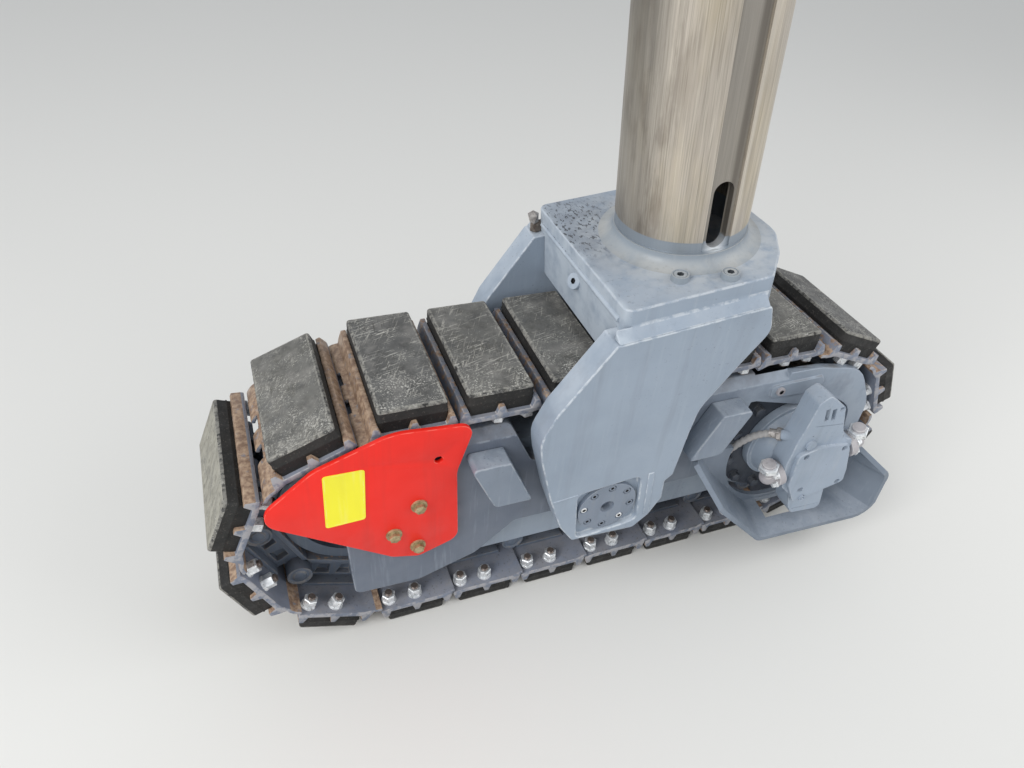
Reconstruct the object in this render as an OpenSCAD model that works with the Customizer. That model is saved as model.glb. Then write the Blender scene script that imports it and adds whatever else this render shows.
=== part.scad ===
// Crawler track unit with its fork and lifting column, from a cold planer.
// X runs along the track towards the drive end, Z is up.
// The origin is on the ground, under the middle of the track.

/* [Chain] */
// Distance between two chain pins
link_pitch = 140; // [130:1:150]
// Links along each straight run
flat_links = 6; // [4:1:8]
// Links round each end
end_links = 4; // [4:1:6]
// Radius of the chain bushings
bushing_r = 16; // [12:1:18]
// Half the height of a link above and below its pins
link_half_h = 24; // [20:1:26]
// Inner side of each row of links, from the middle
link_in = 22; // [20:1:26]
// Thickness of one row of links
link_t = 26; // [20:1:30]
// How far the boss round a pin stands out beside its row
link_boss = 27; // [16:1:28]

/* [Shoes] */
// Pin centre to the outer face of the shoe plate
pin_to_plate = 45; // [42:1:48]
// Thickness of the shoe plate
plate_t = 10; // [8:1:12]
// Width of the shoe plate across the track
plate_w = 260; // [254:1:264]
// Gap between two shoe plates on a straight run
plate_gap = 4; // [3:1:8]
// Height of the three grousers across a plate
grouser_h = 15; // [10:1:20]
// Thickness of a grouser at its tip
grouser_tip = 8; // [6:1:10]
// Thickness of a grouser at its foot
grouser_foot = 18; // [14:1:20]
// Thickness of the lip that reaches under the next plate
lip_t = 7; // [5:1:8]
// How far the lip goes on round the pin, in degrees
lip_turn = 30; // [20:1:32]
// Length of a pad along the track
pad_l = 108; // [100:1:112]
// Thickness of a pad
pad_t = 42; // [36:1:46]
// How far a pad stays inside the plate's ends
pad_inset = 8; // [4:1:12]
// Play between a pad and the grousers
pad_play = 1; // [0.5:0.5:2]
// Chamfer along the edges of the pad's tread
pad_chamfer = 7; // [4:1:10]

/* [Wheels] */
// Play between the chain and what carries it
rail_play = 0.3; // [0.2:0.1:1]
// Radius of the idler's guiding flange
idler_flange_r = 158; // [152:1:164]
// Radius of the idler's axle
idler_axle_r = 26; // [20:1:32]
// Radius of the bottom rollers
roller_r = 42; // [36:1:44]
// Radius of a roller's flanges
roller_flange_r = 47; // [45:1:48]
// Number of bottom rollers
roller_count = 5; // [3:1:5]
// Distance between two bottom rollers
roller_pitch = 110; // [100:1:112]
// Radius of the axles of the rollers
roller_axle_r = 15; // [12:1:18]
// Half the width of the sprocket
sprocket_half_t = 15; // [12:1:17]
// Radius of the sprocket over its teeth
sprocket_r = 184; // [178:1:190]

/* [Frame] */
// Inner face of each frame web, from the middle
web_in = 86; // [80:1:90]
// Thickness of the frame webs
web_t = 12; // [10:1:16]
// Height of the deck between the webs
deck_z = 385; // [375:1:400]
// Thickness of the deck
deck_t = 14; // [10:1:18]
// Foot of the frame above the ground
frame_foot = 126; // [120:1:132]
// Top of the side boxes over the idler
rail_top = 460; // [450:1:464]
// Height of the bevel along that top
rail_bevel = 17; // [12:1:20]
// Top of the side boxes between the stop blocks
saddle_z = 375; // [368:1:382]
// Thickness of the bridge over the final drive
bridge_t = 15; // [12:1:16]

/* [Fork] */
// Pendulum axis along the track, from the middle
pivot_x = -14; // [-24:1:10]
// Pendulum axis above the ground
pivot_z = 272; // [264:1:280]
// Lean of the fork as it stands, its top towards the idler
lean = 6; // [0:1:10]
// Gap between a side box and the arm beside it
arm_gap = 12; // [10:1:16]
// Thickness of an arm
arm_t = 46; // [40:1:50]
// Top of the arms above the pendulum axis
arm_top = 373; // [365:1:380]
// Radius of the pendulum pins
pivot_r = 40; // [34:1:44]
// Radius of the bolted flange of a pendulum pin
flange_r = 57; // [52:1:60]
// Thickness of that flange
flange_t = 8; // [6:1:12]
// Half the side of the recess round the flange
recess_half = 61; // [60:1:64]
// Depth of that recess
recess_d = 12; // [10:1:14]
// Running play of the pendulum pins
pin_play = 0.06; // [0.03:0.01:0.1]
// Height of the crown above the arms' top
crown_above = 45; // [38:1:52]
// Thickness of the crown's top plate
crown_plate_t = 27; // [22:1:32]
// How far the crown's top plate stays inside the arms' outer faces
crown_inset = 17; // [12:1:20]
// Left face of the crown, from the pendulum axis
crown_left = 9; // [4:1:14]
// Depth of the crown below the arms' top at that face
crown_deep = 79; // [72:1:84]
// Rise of the underside towards the drive end, in degrees
crown_rise = 12; // [10:1:14]

/* [Column] */
// Column's axis, from the pendulum axis
column_x = 190; // [180:1:196]
// Outer radius of the column
column_r = 107; // [100:1:110]
// Inner radius of the column
column_bore = 88; // [80:1:90]
// Height of the column above the crown
column_h = 1000; // [800:10:1100]
// Width of the keyway down the column
keyway_w = 48; // [40:1:56]
// Depth of the keyway
keyway_d = 6; // [4:1:8]
// Width of the oblong slot at the keyway's foot
slot_w = 34; // [28:1:38]
// Length of that slot
slot_l = 108; // [90:1:130]
// Foot of that slot above the crown
slot_foot = 26; // [24:1:40]
// Outer radius of the welded collar
collar_r = 132; // [126:1:138]
// Height of the collar
collar_h = 20; // [14:1:26]
// Width of the turned groove over the collar, where the column's sliding face ends
groove_w = 18; // [14:1:24]

/* [Drive] */
// Radius of the final drive's drum
drum_r = 112; // [104:1:114]
// Radius of the bolted flange of the drum
drum_flange_r = 140; // [134:1:142]
// Thickness of that flange
drum_flange_t = 14; // [10:1:16]
// Radius of the opening in the motor guard
guard_hole_r = 146; // [144:1:150]
// Thickness of the motor guard
guard_t = 10; // [8:1:12]
// Front of the motor guard's rim, from the middle
guard_out = 227; // [220:1:232]
// Turn of the motor about its shaft, in degrees
motor_turn = 13; // [8:1:18]
// Radius of the motor's round foot
motor_r = 92; // [84:1:96]
// Front face of the motor, from the middle
motor_out = 220; // [214:1:224]
// Thickness of the motor's cover
cover_t = 9; // [6:1:12]
// Thickness of the motor's valve block with its cover
block_t = 52; // [50:1:56]
// Radius of the port bosses
port_r = 25; // [22:1:26]
// Diameter of the drain hose from the frame to the motor
hose_d = 15; // [12:1:16]

/* [Stops and guards] */
// Outer face of the stop blocks, from the middle
stop_out = 172; // [165:1:180]
// Middle between the stop blocks along the track
stop_x = -4; // [-14:1:2]
// Foot of the stop blocks above the ground
stop_foot = 325; // [322:1:332]
// Height of the stop blocks
stop_h = 100; // [90:1:105]
// Inner edge of a stop block's foot, from that middle
stop_near = 155; // [154:1:158]
// Width of a stop block
stop_w = 67; // [60:1:70]
// How far a stop block leans away over its height
stop_lean = 45; // [42:1:52]
// Gap between the shoes and the idler guard
idler_guard_gap = 7; // [5:1:10]
// Thickness of the idler guard
idler_guard_t = 8; // [6:1:10]

/* [Hidden] */
$fn = 48;

paint = "#7f8a99";
bare = "#8d8a80";
dark = "#33363c";
red = "#e2362a";
zinc = "#b9bcc0";
wrap = "#77756f";

pin_circle_r = link_pitch / (2 * sin(90 / end_links));
half_run = flat_links * link_pitch / 2;
side_out = plate_w / 2;
arm_in = side_out + arm_gap;
pin_low = pin_to_plate + pad_t;
centre_z = pin_low + pin_circle_r;
link_count = 2 * (flat_links + end_links);
link_out = link_in + link_t;
plate_in = pin_to_plate - plate_t;
plate_l = link_pitch - plate_gap;
pad_w = plate_w - 2 * pad_inset;
boss_out = link_out + link_boss;
boss_r = link_half_h - 2;
foot_half = link_half_h * 0.4;
body_in = link_half_h * 0.8;
neck_z = link_half_h * 0.6;
grouser_x = (pad_l + grouser_tip) / 2 + pad_play;
lip_play = 0.7;
stretch_ends = [flat_links - 1, flat_links + end_links - 1, 2 * flat_links + end_links - 1, link_count - 1];
stretch_gap = 1;
rail_r = pin_circle_r * cos(90 / end_links) - link_half_h - rail_play;
rail_z = pin_low + link_half_h + rail_play;
roller_z = rail_z + roller_r;
web_out = web_in + web_t;
arm_out = arm_in + arm_t;
crown_top = arm_top + crown_above;
crown_half_w = arm_out - crown_inset;
drive_x = half_run;
idler_x = -half_run;
seat = 0.3;
yoke_t = 20;
yoke_out = 74;
yoke_half_h = 44;
yoke_back = -212;
tensioner_r = 38;
tensioner_back = -60;
motor_in = -web_out - drum_flange_t;
port_left = -64;
port_right = 84;
port_w = 8;
corner_steps = 4;
crown_back = 338;
arm_seat = 257;
groove_d = 1;
groove_z = collar_h + 2;
hose_route = [[272, -120, 252], [292, -128, 296], [316, -140, 332], [340, -168, 344]];
hose_start = hose_route[1] - hose_route[0];
hose_end = hose_route[3] - hose_route[2];
nipple_r = hose_d / 2 + 2;
nipple_l = 24;
hose_boss_l = 40;

// Pins of the chain, starting at the idler's foot and going round by the drive end.
function chain_pin(i) =
    i <= flat_links ? [idler_x + i * link_pitch, pin_low]
    : i < flat_links + end_links
        ? [drive_x, centre_z] + pin_circle_r * turn(-90 + (i - flat_links) * 180 / end_links)
    : i <= 2 * flat_links + end_links
        ? [drive_x - (i - flat_links - end_links) * link_pitch, centre_z + pin_circle_r]
    : i < link_count
        ? [idler_x, centre_z] + pin_circle_r * turn(90 + (i - 2 * flat_links - end_links) * 180 / end_links)
    : chain_pin(i - link_count);

// Direction of the link that starts at pin i, and the direction out of the loop beside it.
function link_dir(i) = unit(chain_pin(i + 1) - chain_pin(i));
function outwards(d) = [d.y, -d.x];

function turn(a) = [cos(a), sin(a)];
function octagon(r) = [for (k = [0 : 7]) r * turn(45 * k + 22.5)];

// Points of an outline [x, y, radius] with each corner rounded by its radius.
function corner(p, q, r, rad) =
    rad <= 0 ? [[q.x, q.y]] :
    let (
        a = unit([p.x - q.x, p.y - q.y]),
        b = unit([r.x - q.x, r.y - q.y]),
        half = acos(max(-1, min(1, a * b))) / 2,
        reach = rad / tan(half),
        start = [q.x, q.y] + a * reach,
        end = [q.x, q.y] + b * reach,
        mid = [q.x, q.y] + unit(a + b) * rad / sin(half),
        a0 = atan2(start.y - mid.y, start.x - mid.x),
        a1 = atan2(end.y - mid.y, end.x - mid.x),
        sweep = a1 - a0 > 180 ? a1 - a0 - 360 : a1 - a0 < -180 ? a1 - a0 + 360 : a1 - a0,
        steps = max(2, ceil(abs(sweep) / 15))
    )
    [for (k = [0 : steps]) mid + rad * turn(a0 + sweep * k / steps)];
function unit(v) = v / norm(v);
function rounded(pts) =
    let (n = len(pts))
    [for (i = [0 : n - 1]) each corner(pts[(i + n - 1) % n], pts[i], pts[(i + 1) % n], pts[i][2])];

// Extrudes an outline drawn in X and Z across the track, from y0 to y1.
module across(y0, y1) {
    translate([0, y1, 0]) rotate([90, 0, 0]) linear_extrude(y1 - y0) children();
}

// The same on both sides of the track's middle plane.
module both_sides() {
    children();
    mirror([0, 1, 0]) children();
}

// Places a piece drawn about a link's middle, with X along the chain and Z inwards.
module at_link(i) {
    middle = (chain_pin(i) + chain_pin(i + 1)) / 2;
    d = link_dir(i);
    translate([middle.x, 0, middle.y]) rotate([0, -atan2(d.y, d.x), 0]) children();
}

// Places a piece drawn about the pendulum axis in the leaning fork.
module in_fork() {
    translate([pivot_x, 0, pivot_z]) rotate([0, -lean, 0]) children();
}

module y_cylinder(r, y0, y1) {
    translate([0, y1, 0]) rotate([90, 0, 0]) cylinder(r = r, h = y1 - y0);
}

// Chain

// Outer outline of the loop of links: the foot of each pin, then the body that its shoe is bolted on.
link_outer = [
    for (i = [0 : link_count - 1])
        let (
            p = chain_pin(i),
            q = chain_pin(i + 1),
            d = link_dir(i),
            n = outwards(d),
            mid = unit(link_dir(i + link_count - 1) + d),
            foot = p + link_half_h * outwards(mid)
        )
        each [
            foot - foot_half * mid, foot + foot_half * mid,
            p + body_in * d + neck_z * n, p + body_in * d + plate_in * n,
            q - body_in * d + plate_in * n, q - body_in * d + neck_z * n
        ]
];
// Inner outline, where the wheels run.
link_inner = [
    for (i = [0 : link_count - 1])
        let (d = link_dir(i), mid = unit(link_dir(i + link_count - 1) + d))
        chain_pin(i) - link_half_h / (mid * d) * outwards(mid)
];

module link_row() {
    difference() {
        polygon(link_outer);
        polygon(link_inner);
    }
}

// Joint between two links, seen in the last link of each stretch of the chain.
module chain_joint() {
    translate([link_pitch / 2 - boss_r - 2 * stretch_gap, -boss_out, -pin_to_plate])
        cube([stretch_gap, 2 * boss_out, 2 * pin_to_plate]);
}

// Both rows of links, the bushings between them and the bosses beside them, in four stretches: the lower
// run, the bend round the drive, the upper run and the bend round the idler.
module chain_links() {
    color(dark) difference() {
        union() {
            both_sides() across(link_in, link_out) link_row();
            for (i = [0 : link_count - 1]) {
                across(-link_in - 1, link_in + 1) translate(chain_pin(i)) polygon(octagon(bushing_r));
                both_sides() across(link_out - 1, boss_out) translate(chain_pin(i)) polygon(octagon(boss_r));
            }
        }
        for (i = stretch_ends) at_link(i) chain_joint();
    }
}

module grouser(play) {
    half_foot = grouser_foot / 2 + play;
    half_tip = grouser_tip / 2 + play;
    polygon([[-half_foot, 1], [half_foot, 1], [half_tip, -grouser_h - play], [-half_tip, -grouser_h - play]]);
}

// Lip that curves inwards round the pin, so that the next plate slides over it.
module shoe_lip() {
    lip_r = plate_in - lip_play;
    steps = 3;
    outer = [for (k = [0 : steps]) lip_r * turn(-90 + lip_turn * k / steps)];
    inner = [for (k = [steps : -1 : 0]) (lip_r - lip_t) * turn(-90 + lip_turn * k / steps)];
    translate([link_pitch / 2, 0])
        polygon(concat([[-10, -pin_to_plate]], outer, inner, [[-18, -plate_in]]));
}

module shoe_profile() {
    translate([-plate_l / 2, -pin_to_plate]) square([(plate_l + link_pitch) / 2 - 10, plate_t]);
    for (k = [-1 : 1]) translate([k * grouser_x, -pin_to_plate]) grouser(0);
    shoe_lip();
}

module track_shoes() {
    color(paint) for (i = [0 : link_count - 1]) at_link(i)
        across(-side_out, side_out) shoe_profile();
}

module shoe_pads() {
    c = pad_chamfer;
    foot = pad_l / 2 - (grouser_foot - grouser_tip) / 2;
    long = [[-foot, 0], [foot, 0], [pad_l / 2, -grouser_h], [pad_l / 2, c - pad_t], [pad_l / 2 - c, -pad_t],
            [c - pad_l / 2, -pad_t], [-pad_l / 2, c - pad_t], [-pad_l / 2, -grouser_h]];
    wide = [[-pad_w / 2, 0], [pad_w / 2, 0], [pad_w / 2, c - pad_t], [pad_w / 2 - c, -pad_t],
            [c - pad_w / 2, -pad_t], [-pad_w / 2, c - pad_t]];
    color(dark) for (i = [0 : link_count - 1]) at_link(i) translate([0, 0, -pin_to_plate])
        intersection() {
            across(-pad_w / 2, pad_w / 2) difference() {
                polygon(long);
                grouser(pad_play);
            }
            translate([-pad_l / 2, 0, 0]) rotate([90, 0, 90]) linear_extrude(pad_l) polygon(wide);
        }
}

// Wheels and drive

module idler_wheel() {
    web_half = 9;
    hub_r = 56;
    rim_t = 22;
    profile = [
        [idler_axle_r + 0.05, -link_out], [hub_r, -link_out], [hub_r, -web_half],
        [rail_r - rim_t, -web_half], [rail_r - rim_t, -link_out], [rail_r, -link_out],
        [rail_r, 4 - link_in], [idler_flange_r, 8 - link_in], [idler_flange_r, link_in - 8],
        [rail_r, link_in - 4], [rail_r, link_out], [rail_r - rim_t, link_out],
        [rail_r - rim_t, web_half], [hub_r, web_half], [hub_r, link_out],
        [idler_axle_r + 0.05, link_out]
    ];
    color(dark) translate([idler_x, 0, centre_z]) rotate([90, 0, 0]) rotate_extrude($fn = 64)
        polygon(profile);
}

module idler_axle() {
    color(zinc) translate([idler_x, 0, centre_z]) y_cylinder(idler_axle_r, -web_out, web_out);
}

module idler_yoke() {
    color(paint) difference() {
        union() {
            both_sides() across(yoke_out - yoke_t, yoke_out) {
                translate([idler_x, centre_z]) circle(r = yoke_half_h);
                translate([idler_x, centre_z - yoke_half_h])
                    square([yoke_back - idler_x, 2 * yoke_half_h]);
            }
            translate([yoke_back - yoke_t, -yoke_out, centre_z - yoke_half_h])
                cube([yoke_t, 2 * yoke_out, 2 * yoke_half_h]);
        }
        translate([idler_x, 0, centre_z]) y_cylinder(idler_axle_r + 0.05, -yoke_out - 1, yoke_out + 1);
    }
}

module tensioner() {
    color(paint) translate([yoke_back, 0, centre_z]) rotate([0, 90, 0]) {
        cylinder(r = tensioner_r * 0.6, h = 60);
        translate([0, 0, 60]) cylinder(r = tensioner_r, h = tensioner_back - yoke_back - 60);
    }
}

function roller_x(k) = (k - (roller_count - 1) / 2) * roller_pitch;

module bottom_rollers() {
    profile = [
        [roller_axle_r + 0.05, -link_out], [roller_r, -link_out], [roller_r, 3 - link_in],
        [roller_flange_r, 7 - link_in], [roller_flange_r, link_in - 7], [roller_r, link_in - 3],
        [roller_r, link_out], [roller_axle_r + 0.05, link_out]
    ];
    color(dark) for (k = [0 : roller_count - 1])
        translate([roller_x(k), 0, roller_z]) rotate([90, 0, 0]) rotate_extrude($fn = 32)
            polygon(profile);
}

module roller_axles() {
    cap_r = 28;
    color(zinc) for (k = [0 : roller_count - 1]) translate([roller_x(k), 0, roller_z]) {
        y_cylinder(roller_axle_r, -web_in, web_in);
        both_sides() y_cylinder(cap_r, link_out + 4, web_in);
    }
}

module sprocket() {
    color(dark) translate([drive_x, 0, centre_z]) across(-sprocket_half_t, sprocket_half_t)
        difference() {
            circle(r = sprocket_r, $fn = 64);
            for (a = [0 : 180 / end_links : 359])
                translate(pin_circle_r * turn(a)) circle(r = bushing_r + 1, $fn = 24);
            for (a = [0 : 180 / end_links : 359]) for (s = [-1, 1])
                translate((sprocket_r + 2) * turn(a + s * 7)) rotate(a + s * 7)
                    square([22, 18], center = true);
            circle(r = drum_r - 24);
        }
}

module final_drive() {
    color(dark) translate([drive_x, 0, centre_z]) difference() {
        union() {
            y_cylinder(drum_r - 24, -sprocket_half_t, sprocket_half_t);
            y_cylinder(drum_r, -web_out, -sprocket_half_t);
            y_cylinder(drum_flange_r, -web_out - drum_flange_t, -web_out);
            y_cylinder(drum_r, sprocket_half_t, 70);
        }
        for (k = [0 : 11]) rotate([0, 30 * k + 15, 0]) translate([drum_flange_r - 12, 0, 0])
            y_cylinder(5, -web_out - drum_flange_t - 1, -web_out + 1);
    }
}

// Places a piece drawn about the motor's shaft, turned with the motor.
module at_motor() {
    translate([drive_x, 0, centre_z]) rotate([0, -motor_turn, 0]) children();
}

// Casting that narrows from its round foot to the valve block.
module motor_housing() {
    foot_t = 18;
    color(paint) at_motor() translate([0, motor_in, 0]) rotate([90, 0, 0]) {
        cylinder(r = motor_r, h = foot_t);
        translate([0, 0, foot_t]) cylinder(r1 = motor_r - 8, r2 = motor_r - 24,
                                           h = motor_out - block_t + motor_in - foot_t);
    }
}

// Outline of the valve block: width, height and radius of each corner from the shaft.
block_outline = [
    [-40, -104, 10], [-30, -130, 10], [42, -155, 12], [43, -84, 6], [72, -78, 10], [port_right, -32, 10],
    [port_right, 40, 10], [58, 64, 6], [54, 92, 6], [48, 148, 12], [10, 196, 10], [-14, 186, 10],
    [-26, 150, 10], [-48, 96, 10], [port_left, 40, 12], [port_left, -26, 12], [-44, -58, 8]
];
// Outline of the cover on its middle.
cover_outline = [
    [-40, -76, 8], [78, -76, 10], [80, -40, 16], [75, 26, 14], [60, 68, 8], [-44, 68, 14], [-57, -16, 14]
];

module motor_valve_block() {
    color(paint) at_motor() {
        across(cover_t - motor_out, block_t - motor_out) polygon(rounded(block_outline));
        across(-motor_out, cover_t - motor_out) polygon(rounded(cover_outline));
    }
    color(paint) translate(hose_route[3]) rotate(heading(hose_end)) cylinder(r = nipple_r, h = hose_boss_l);
}

// Middle of the drain hose at a share t of its way: a curve drawn towards the route's inner points.
function hose_at(t) =
    pow(1 - t, 3) * hose_route[0] + 3 * t * pow(1 - t, 2) * hose_route[1]
    + 3 * t * t * (1 - t) * hose_route[2] + pow(t, 3) * hose_route[3];

// Direction of the hose there.
function hose_heading(t) =
    pow(1 - t, 2) * hose_start + 2 * t * (1 - t) * (hose_route[2] - hose_route[1]) + t * t * hose_end;

// Ring of points round the hose there.
function hose_ring(t, sides) =
    let (d = hose_heading(t) / norm(hose_heading(t)), u = cross(d, [0, 1, 0]) / norm(cross(d, [0, 1, 0])),
         v = cross(d, u))
    [for (k = [0 : sides - 1]) let (a = 360 * k / sides)
        hose_at(t) + hose_d / 2 * (cos(a) * u + sin(a) * v)];

module drain_hose() {
    rings = 8;
    sides = 12;
    points = [for (k = [0 : rings]) each hose_ring(k / rings, sides)];
    walls = [
        for (k = [0 : rings - 1], j = [0 : sides - 1])
            let (a = k * sides + j, b = k * sides + (j + 1) % sides)
            each [[a, a + sides, b], [b, a + sides, b + sides]]
    ];
    start = [for (j = [0 : sides - 1]) j];
    end = [for (j = [sides - 1 : -1 : 0]) rings * sides + j];
    color(wrap) polyhedron(points = points, faces = concat(walls, [start, end]), convexity = 4);
}

// Elbow on one port of the motor: its boss, a neck out to the side and a neck back to the frame.
module port_elbow(side) {
    boss_x = side < 0 ? port_left - seat : port_right + seat;
    neck_r = port_r * 0.64;
    boss_h = 14;
    neck_h = 26;
    riser = 40;
    at_motor() translate([boss_x, port_r - motor_out, port_w]) rotate([0, side * 90, 0]) {
        cylinder(r = port_r, h = boss_h);
        translate([0, 0, boss_h]) cylinder(r = neck_r, h = neck_h - boss_h);
        translate([0, 0, neck_h]) sphere(r = neck_r);
        translate([0, 0, neck_h]) rotate([0, side * -90, 0]) cylinder(r = neck_r - 3, h = riser);
    }
}

module port_elbow_front() {
    color(zinc) port_elbow(-1);
}

module port_elbow_rear() {
    color(zinc) port_elbow(1);
}

// Frame

web_outline = [
    [-330, frame_foot + 80, 10], [-330, 335, 10], [-300, 380, 20], [-290, 400, 10], [330, 400, 10],
    [420, 380, 0], [420, 160, 0], [330, 140, 20], [300, frame_foot, 10], [-300, frame_foot, 10]
];

// Turns what is drawn along Z to point along d.
function heading(d) = [0, acos(d.z / norm(d)), atan2(d.y, d.x)];

// Gland on the near web that the drain hose comes out of.
module hose_gland() {
    base_r = nipple_r + 4;
    root = hose_route[0] - hose_start * nipple_l / norm(hose_start);
    translate(root) rotate(heading(hose_start)) cylinder(r = nipple_r, h = nipple_l);
    translate([root.x, 0, root.z]) y_cylinder(base_r, root.y - nipple_r, 1 - web_out);
}

module track_frame() {
    deck_x0 = -290;
    deck_l = 540;
    anchor_foot = 215;
    color(paint) difference() {
        union() {
            both_sides() across(web_in, web_out) {
                polygon(rounded(web_outline));
                translate([drive_x, centre_z]) circle(r = drum_flange_r + 12, $fn = 64);
            }
            translate([deck_x0, -web_in, deck_z]) cube([deck_l, 2 * web_in, deck_t]);
            translate([tensioner_back, -web_in, anchor_foot])
                cube([16, 2 * web_in, deck_z - anchor_foot]);
            hose_gland();
        }
        translate([drive_x, 0, centre_z]) y_cylinder(drum_r + seat, -web_out - 1, web_out + 1);
        both_sides() translate([pivot_x, 0, pivot_z]) y_cylinder(pivot_r + pin_play, web_in - 1, web_out + 1);
    }
}

// Outline of a side box: cut away at the foot by the pivot, and saddled between the stop blocks.
side_outline = [
    [-462, frame_foot, 14], [-345, frame_foot - 4, 20], [-240, 160, 30], [-168, 226, 20], [222, 226, 20],
    [268, 300, 20], [290, 405, 10], [290, rail_top, 0], [180, rail_top, 14], [140, saddle_z, 14],
    [-148, saddle_z, 14], [-188, rail_top, 14], [-285, rail_top, 24], [-345, 420, 30], [-470, 300, 30]
];
// Outline of the bridge from the side box over the final drive.
bridge_outline = [
    [284, rail_top, 0], [430, 456, 70], [540, 432, 90], [600, 330, 90], [602, 236, 12], [572, 236, 12],
    [552, 330, 60], [490, 372, 40], [406, 370, 30], [300, 402, 10], [284, 402, 0]
];
// Outline of the cover plate bolted on the bridge.
cover_plate = [[326, 408, 8], [322, 436, 10], [440, 438, 12], [446, 420, 8], [424, 400, 8]];

module side_box(guarded) {
    boss_r = 66;
    guard_pad = [[-415, 225, 12], [-325, 225, 12], [-325, 375, 12], [-415, 375, 12]];
    difference() {
        union() {
            across(web_out, side_out) polygon(rounded(side_outline));
            across(side_out - bridge_t, side_out) polygon(rounded(bridge_outline));
            across(side_out - 1, side_out + 5) polygon(rounded(cover_plate));
            translate([pivot_x, 0, pivot_z]) y_cylinder(boss_r, side_out, arm_in - 5);
            if (guarded) across(side_out, side_out + idler_guard_gap) polygon(rounded(guard_pad));
        }
        translate([pivot_x, 0, pivot_z]) y_cylinder(pivot_r + pin_play, web_out - 1, arm_in);
        translate([-half_run - 60, side_out, rail_top - rail_bevel]) rotate([45, 0, 0])
            cube([2 * half_run, 40, 40]);
    }
}

module side_box_near() {
    color(paint) mirror([0, 1, 0]) side_box(true);
}

module side_box_far() {
    color(paint) side_box(false);
}

// Stop block between the arms' edges and the frame, on side sy, at end sx.
module stop_block(sx, sy) {
    outline = rounded([
        [stop_near, 0, 4], [stop_near + stop_w, 0, 14],
        [stop_near + stop_w + stop_lean, stop_h, 8], [stop_near + stop_lean, stop_h, 4]
    ]);
    color(paint) translate([stop_x, 0, stop_foot]) mirror([sx < 0 ? 1 : 0, 0, 0])
        mirror([0, sy < 0 ? 1 : 0, 0]) across(side_out, stop_out) polygon(outline);
}

module stop_near_front() {
    stop_block(-1, -1);
}

module stop_near_rear() {
    stop_block(1, -1);
}

module stop_far_front() {
    stop_block(-1, 1);
}

module stop_far_rear() {
    stop_block(1, 1);
}

module idler_guard() {
    outline = rounded([
        [-258, 500, 20], [-388, 512, 90], [-508, 466, 60], [-584, 402, 16], [-574, 362, 20], [-396, 226, 16],
        [-350, 212, 20], [-280, 238, 24], [-286, 405, 60]
    ]);
    y0 = side_out + idler_guard_gap;
    color(red) mirror([0, 1, 0]) across(y0, y0 + idler_guard_t) difference() {
        polygon(outline);
        translate([-317, 440]) circle(r = 7);
    }
}

// Corners of the motor guard, in order: place in X and Z and radius where it starts on its back plate,
// and the same for its rim, then how far out the rim is there.
guard_corners = [
    [[182, 308, 0], [164, 310, 0], stop_out],
    [[240, 228, 40], [226, 206, 60], guard_out - 14],
    [[352, 110, 24], [342, 92, 34], guard_out],
    [[566, 106, 30], [634, 76, 44], guard_out],
    [[596, 190, 24], [654, 188, 40], guard_out - 8],
    [[584, 262, 0], [568, 264, 0], stop_out + 6]
];
// Points along the guard on ring 0 (back plate) or 1 (rim), moved inwards by inset.
function guard_line(ring, inset) =
    let (n = len(guard_corners), pts = [for (c = guard_corners) c[ring]])
    [for (i = [0 : n - 1]) each
        i == 0 ? [side_shift(pts[0], pts[1], pts[0], inset)]
        : i == n - 1 ? [side_shift(pts[n - 2], pts[n - 1], pts[n - 1], inset)]
        : arc_points(pts[i - 1], pts[i], pts[i + 1], inset)];
function side_shift(p, q, at, inset) =
    let (along = unit([q.x - p.x, q.y - p.y])) [at.x - along.y * inset, at.y + along.x * inset];
function arc_points(p, q, r, inset) =
    let (
        a = unit([p.x - q.x, p.y - q.y]),
        b = unit([r.x - q.x, r.y - q.y]),
        half = acos(a * b) / 2,
        mid = [q.x, q.y] + unit(a + b) * q.z / sin(half),
        a0 = atan2(a.x, -a.y),
        swing = 180 - 2 * half
    )
    [for (k = [0 : corner_steps]) mid + (q.z - inset) * turn(a0 + swing * k / corner_steps)];
guard_depth = [
    for (i = [0 : len(guard_corners) - 1]) each
        i == 0 || i == len(guard_corners) - 1 ? [guard_corners[i][2]]
        : [for (k = [0 : corner_steps]) guard_corners[i][2]]
];

// Flared wall of the guard as one closed skin between four lines: back and rim, outside and inside.
module guard_wall() {
    back = [for (q = guard_line(0, 0)) [q.x, side_out, q.y]];
    rim_line = guard_line(1, 0);
    rim = [for (k = [0 : len(rim_line) - 1]) [rim_line[k].x, guard_depth[k], rim_line[k].y]];
    rim_in_line = guard_line(1, guard_t);
    rim_in = [for (k = [0 : len(rim_in_line) - 1]) [rim_in_line[k].x, guard_depth[k], rim_in_line[k].y]];
    back_in = [for (q = guard_line(0, guard_t)) [q.x, side_out, q.y]];
    n = len(back);
    rows = [0, n, 2 * n, 3 * n];
    walls = [
        for (k = [0 : n - 2], w = [0 : 3])
            let (a = rows[w] + k, b = rows[(w + 1) % 4] + k)
            each [[a, b + 1, b], [a, a + 1, b + 1]]
    ];
    ends = [
        [rows[0], rows[2], rows[3]], [rows[0], rows[1], rows[2]],
        [rows[3] + n - 1, rows[2] + n - 1, rows[0] + n - 1], [rows[2] + n - 1, rows[1] + n - 1, rows[0] + n - 1]
    ];
    polyhedron(points = concat(back, rim, rim_in, back_in), faces = concat(walls, ends), convexity = 8);
}

module motor_guard() {
    window = [80, 46, 60];
    color(paint) mirror([0, 1, 0]) difference() {
        union() {
            guard_wall();
            across(side_out, side_out + guard_t) polygon(guard_line(0, 1));
        }
        translate([drive_x, 0, centre_z]) y_cylinder(guard_hole_r, side_out - 1, side_out + guard_t + 1);
        translate([384, side_out + guard_t + 2, centre_z - 210]) cube(window);
    }
}

// Fork and column

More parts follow.
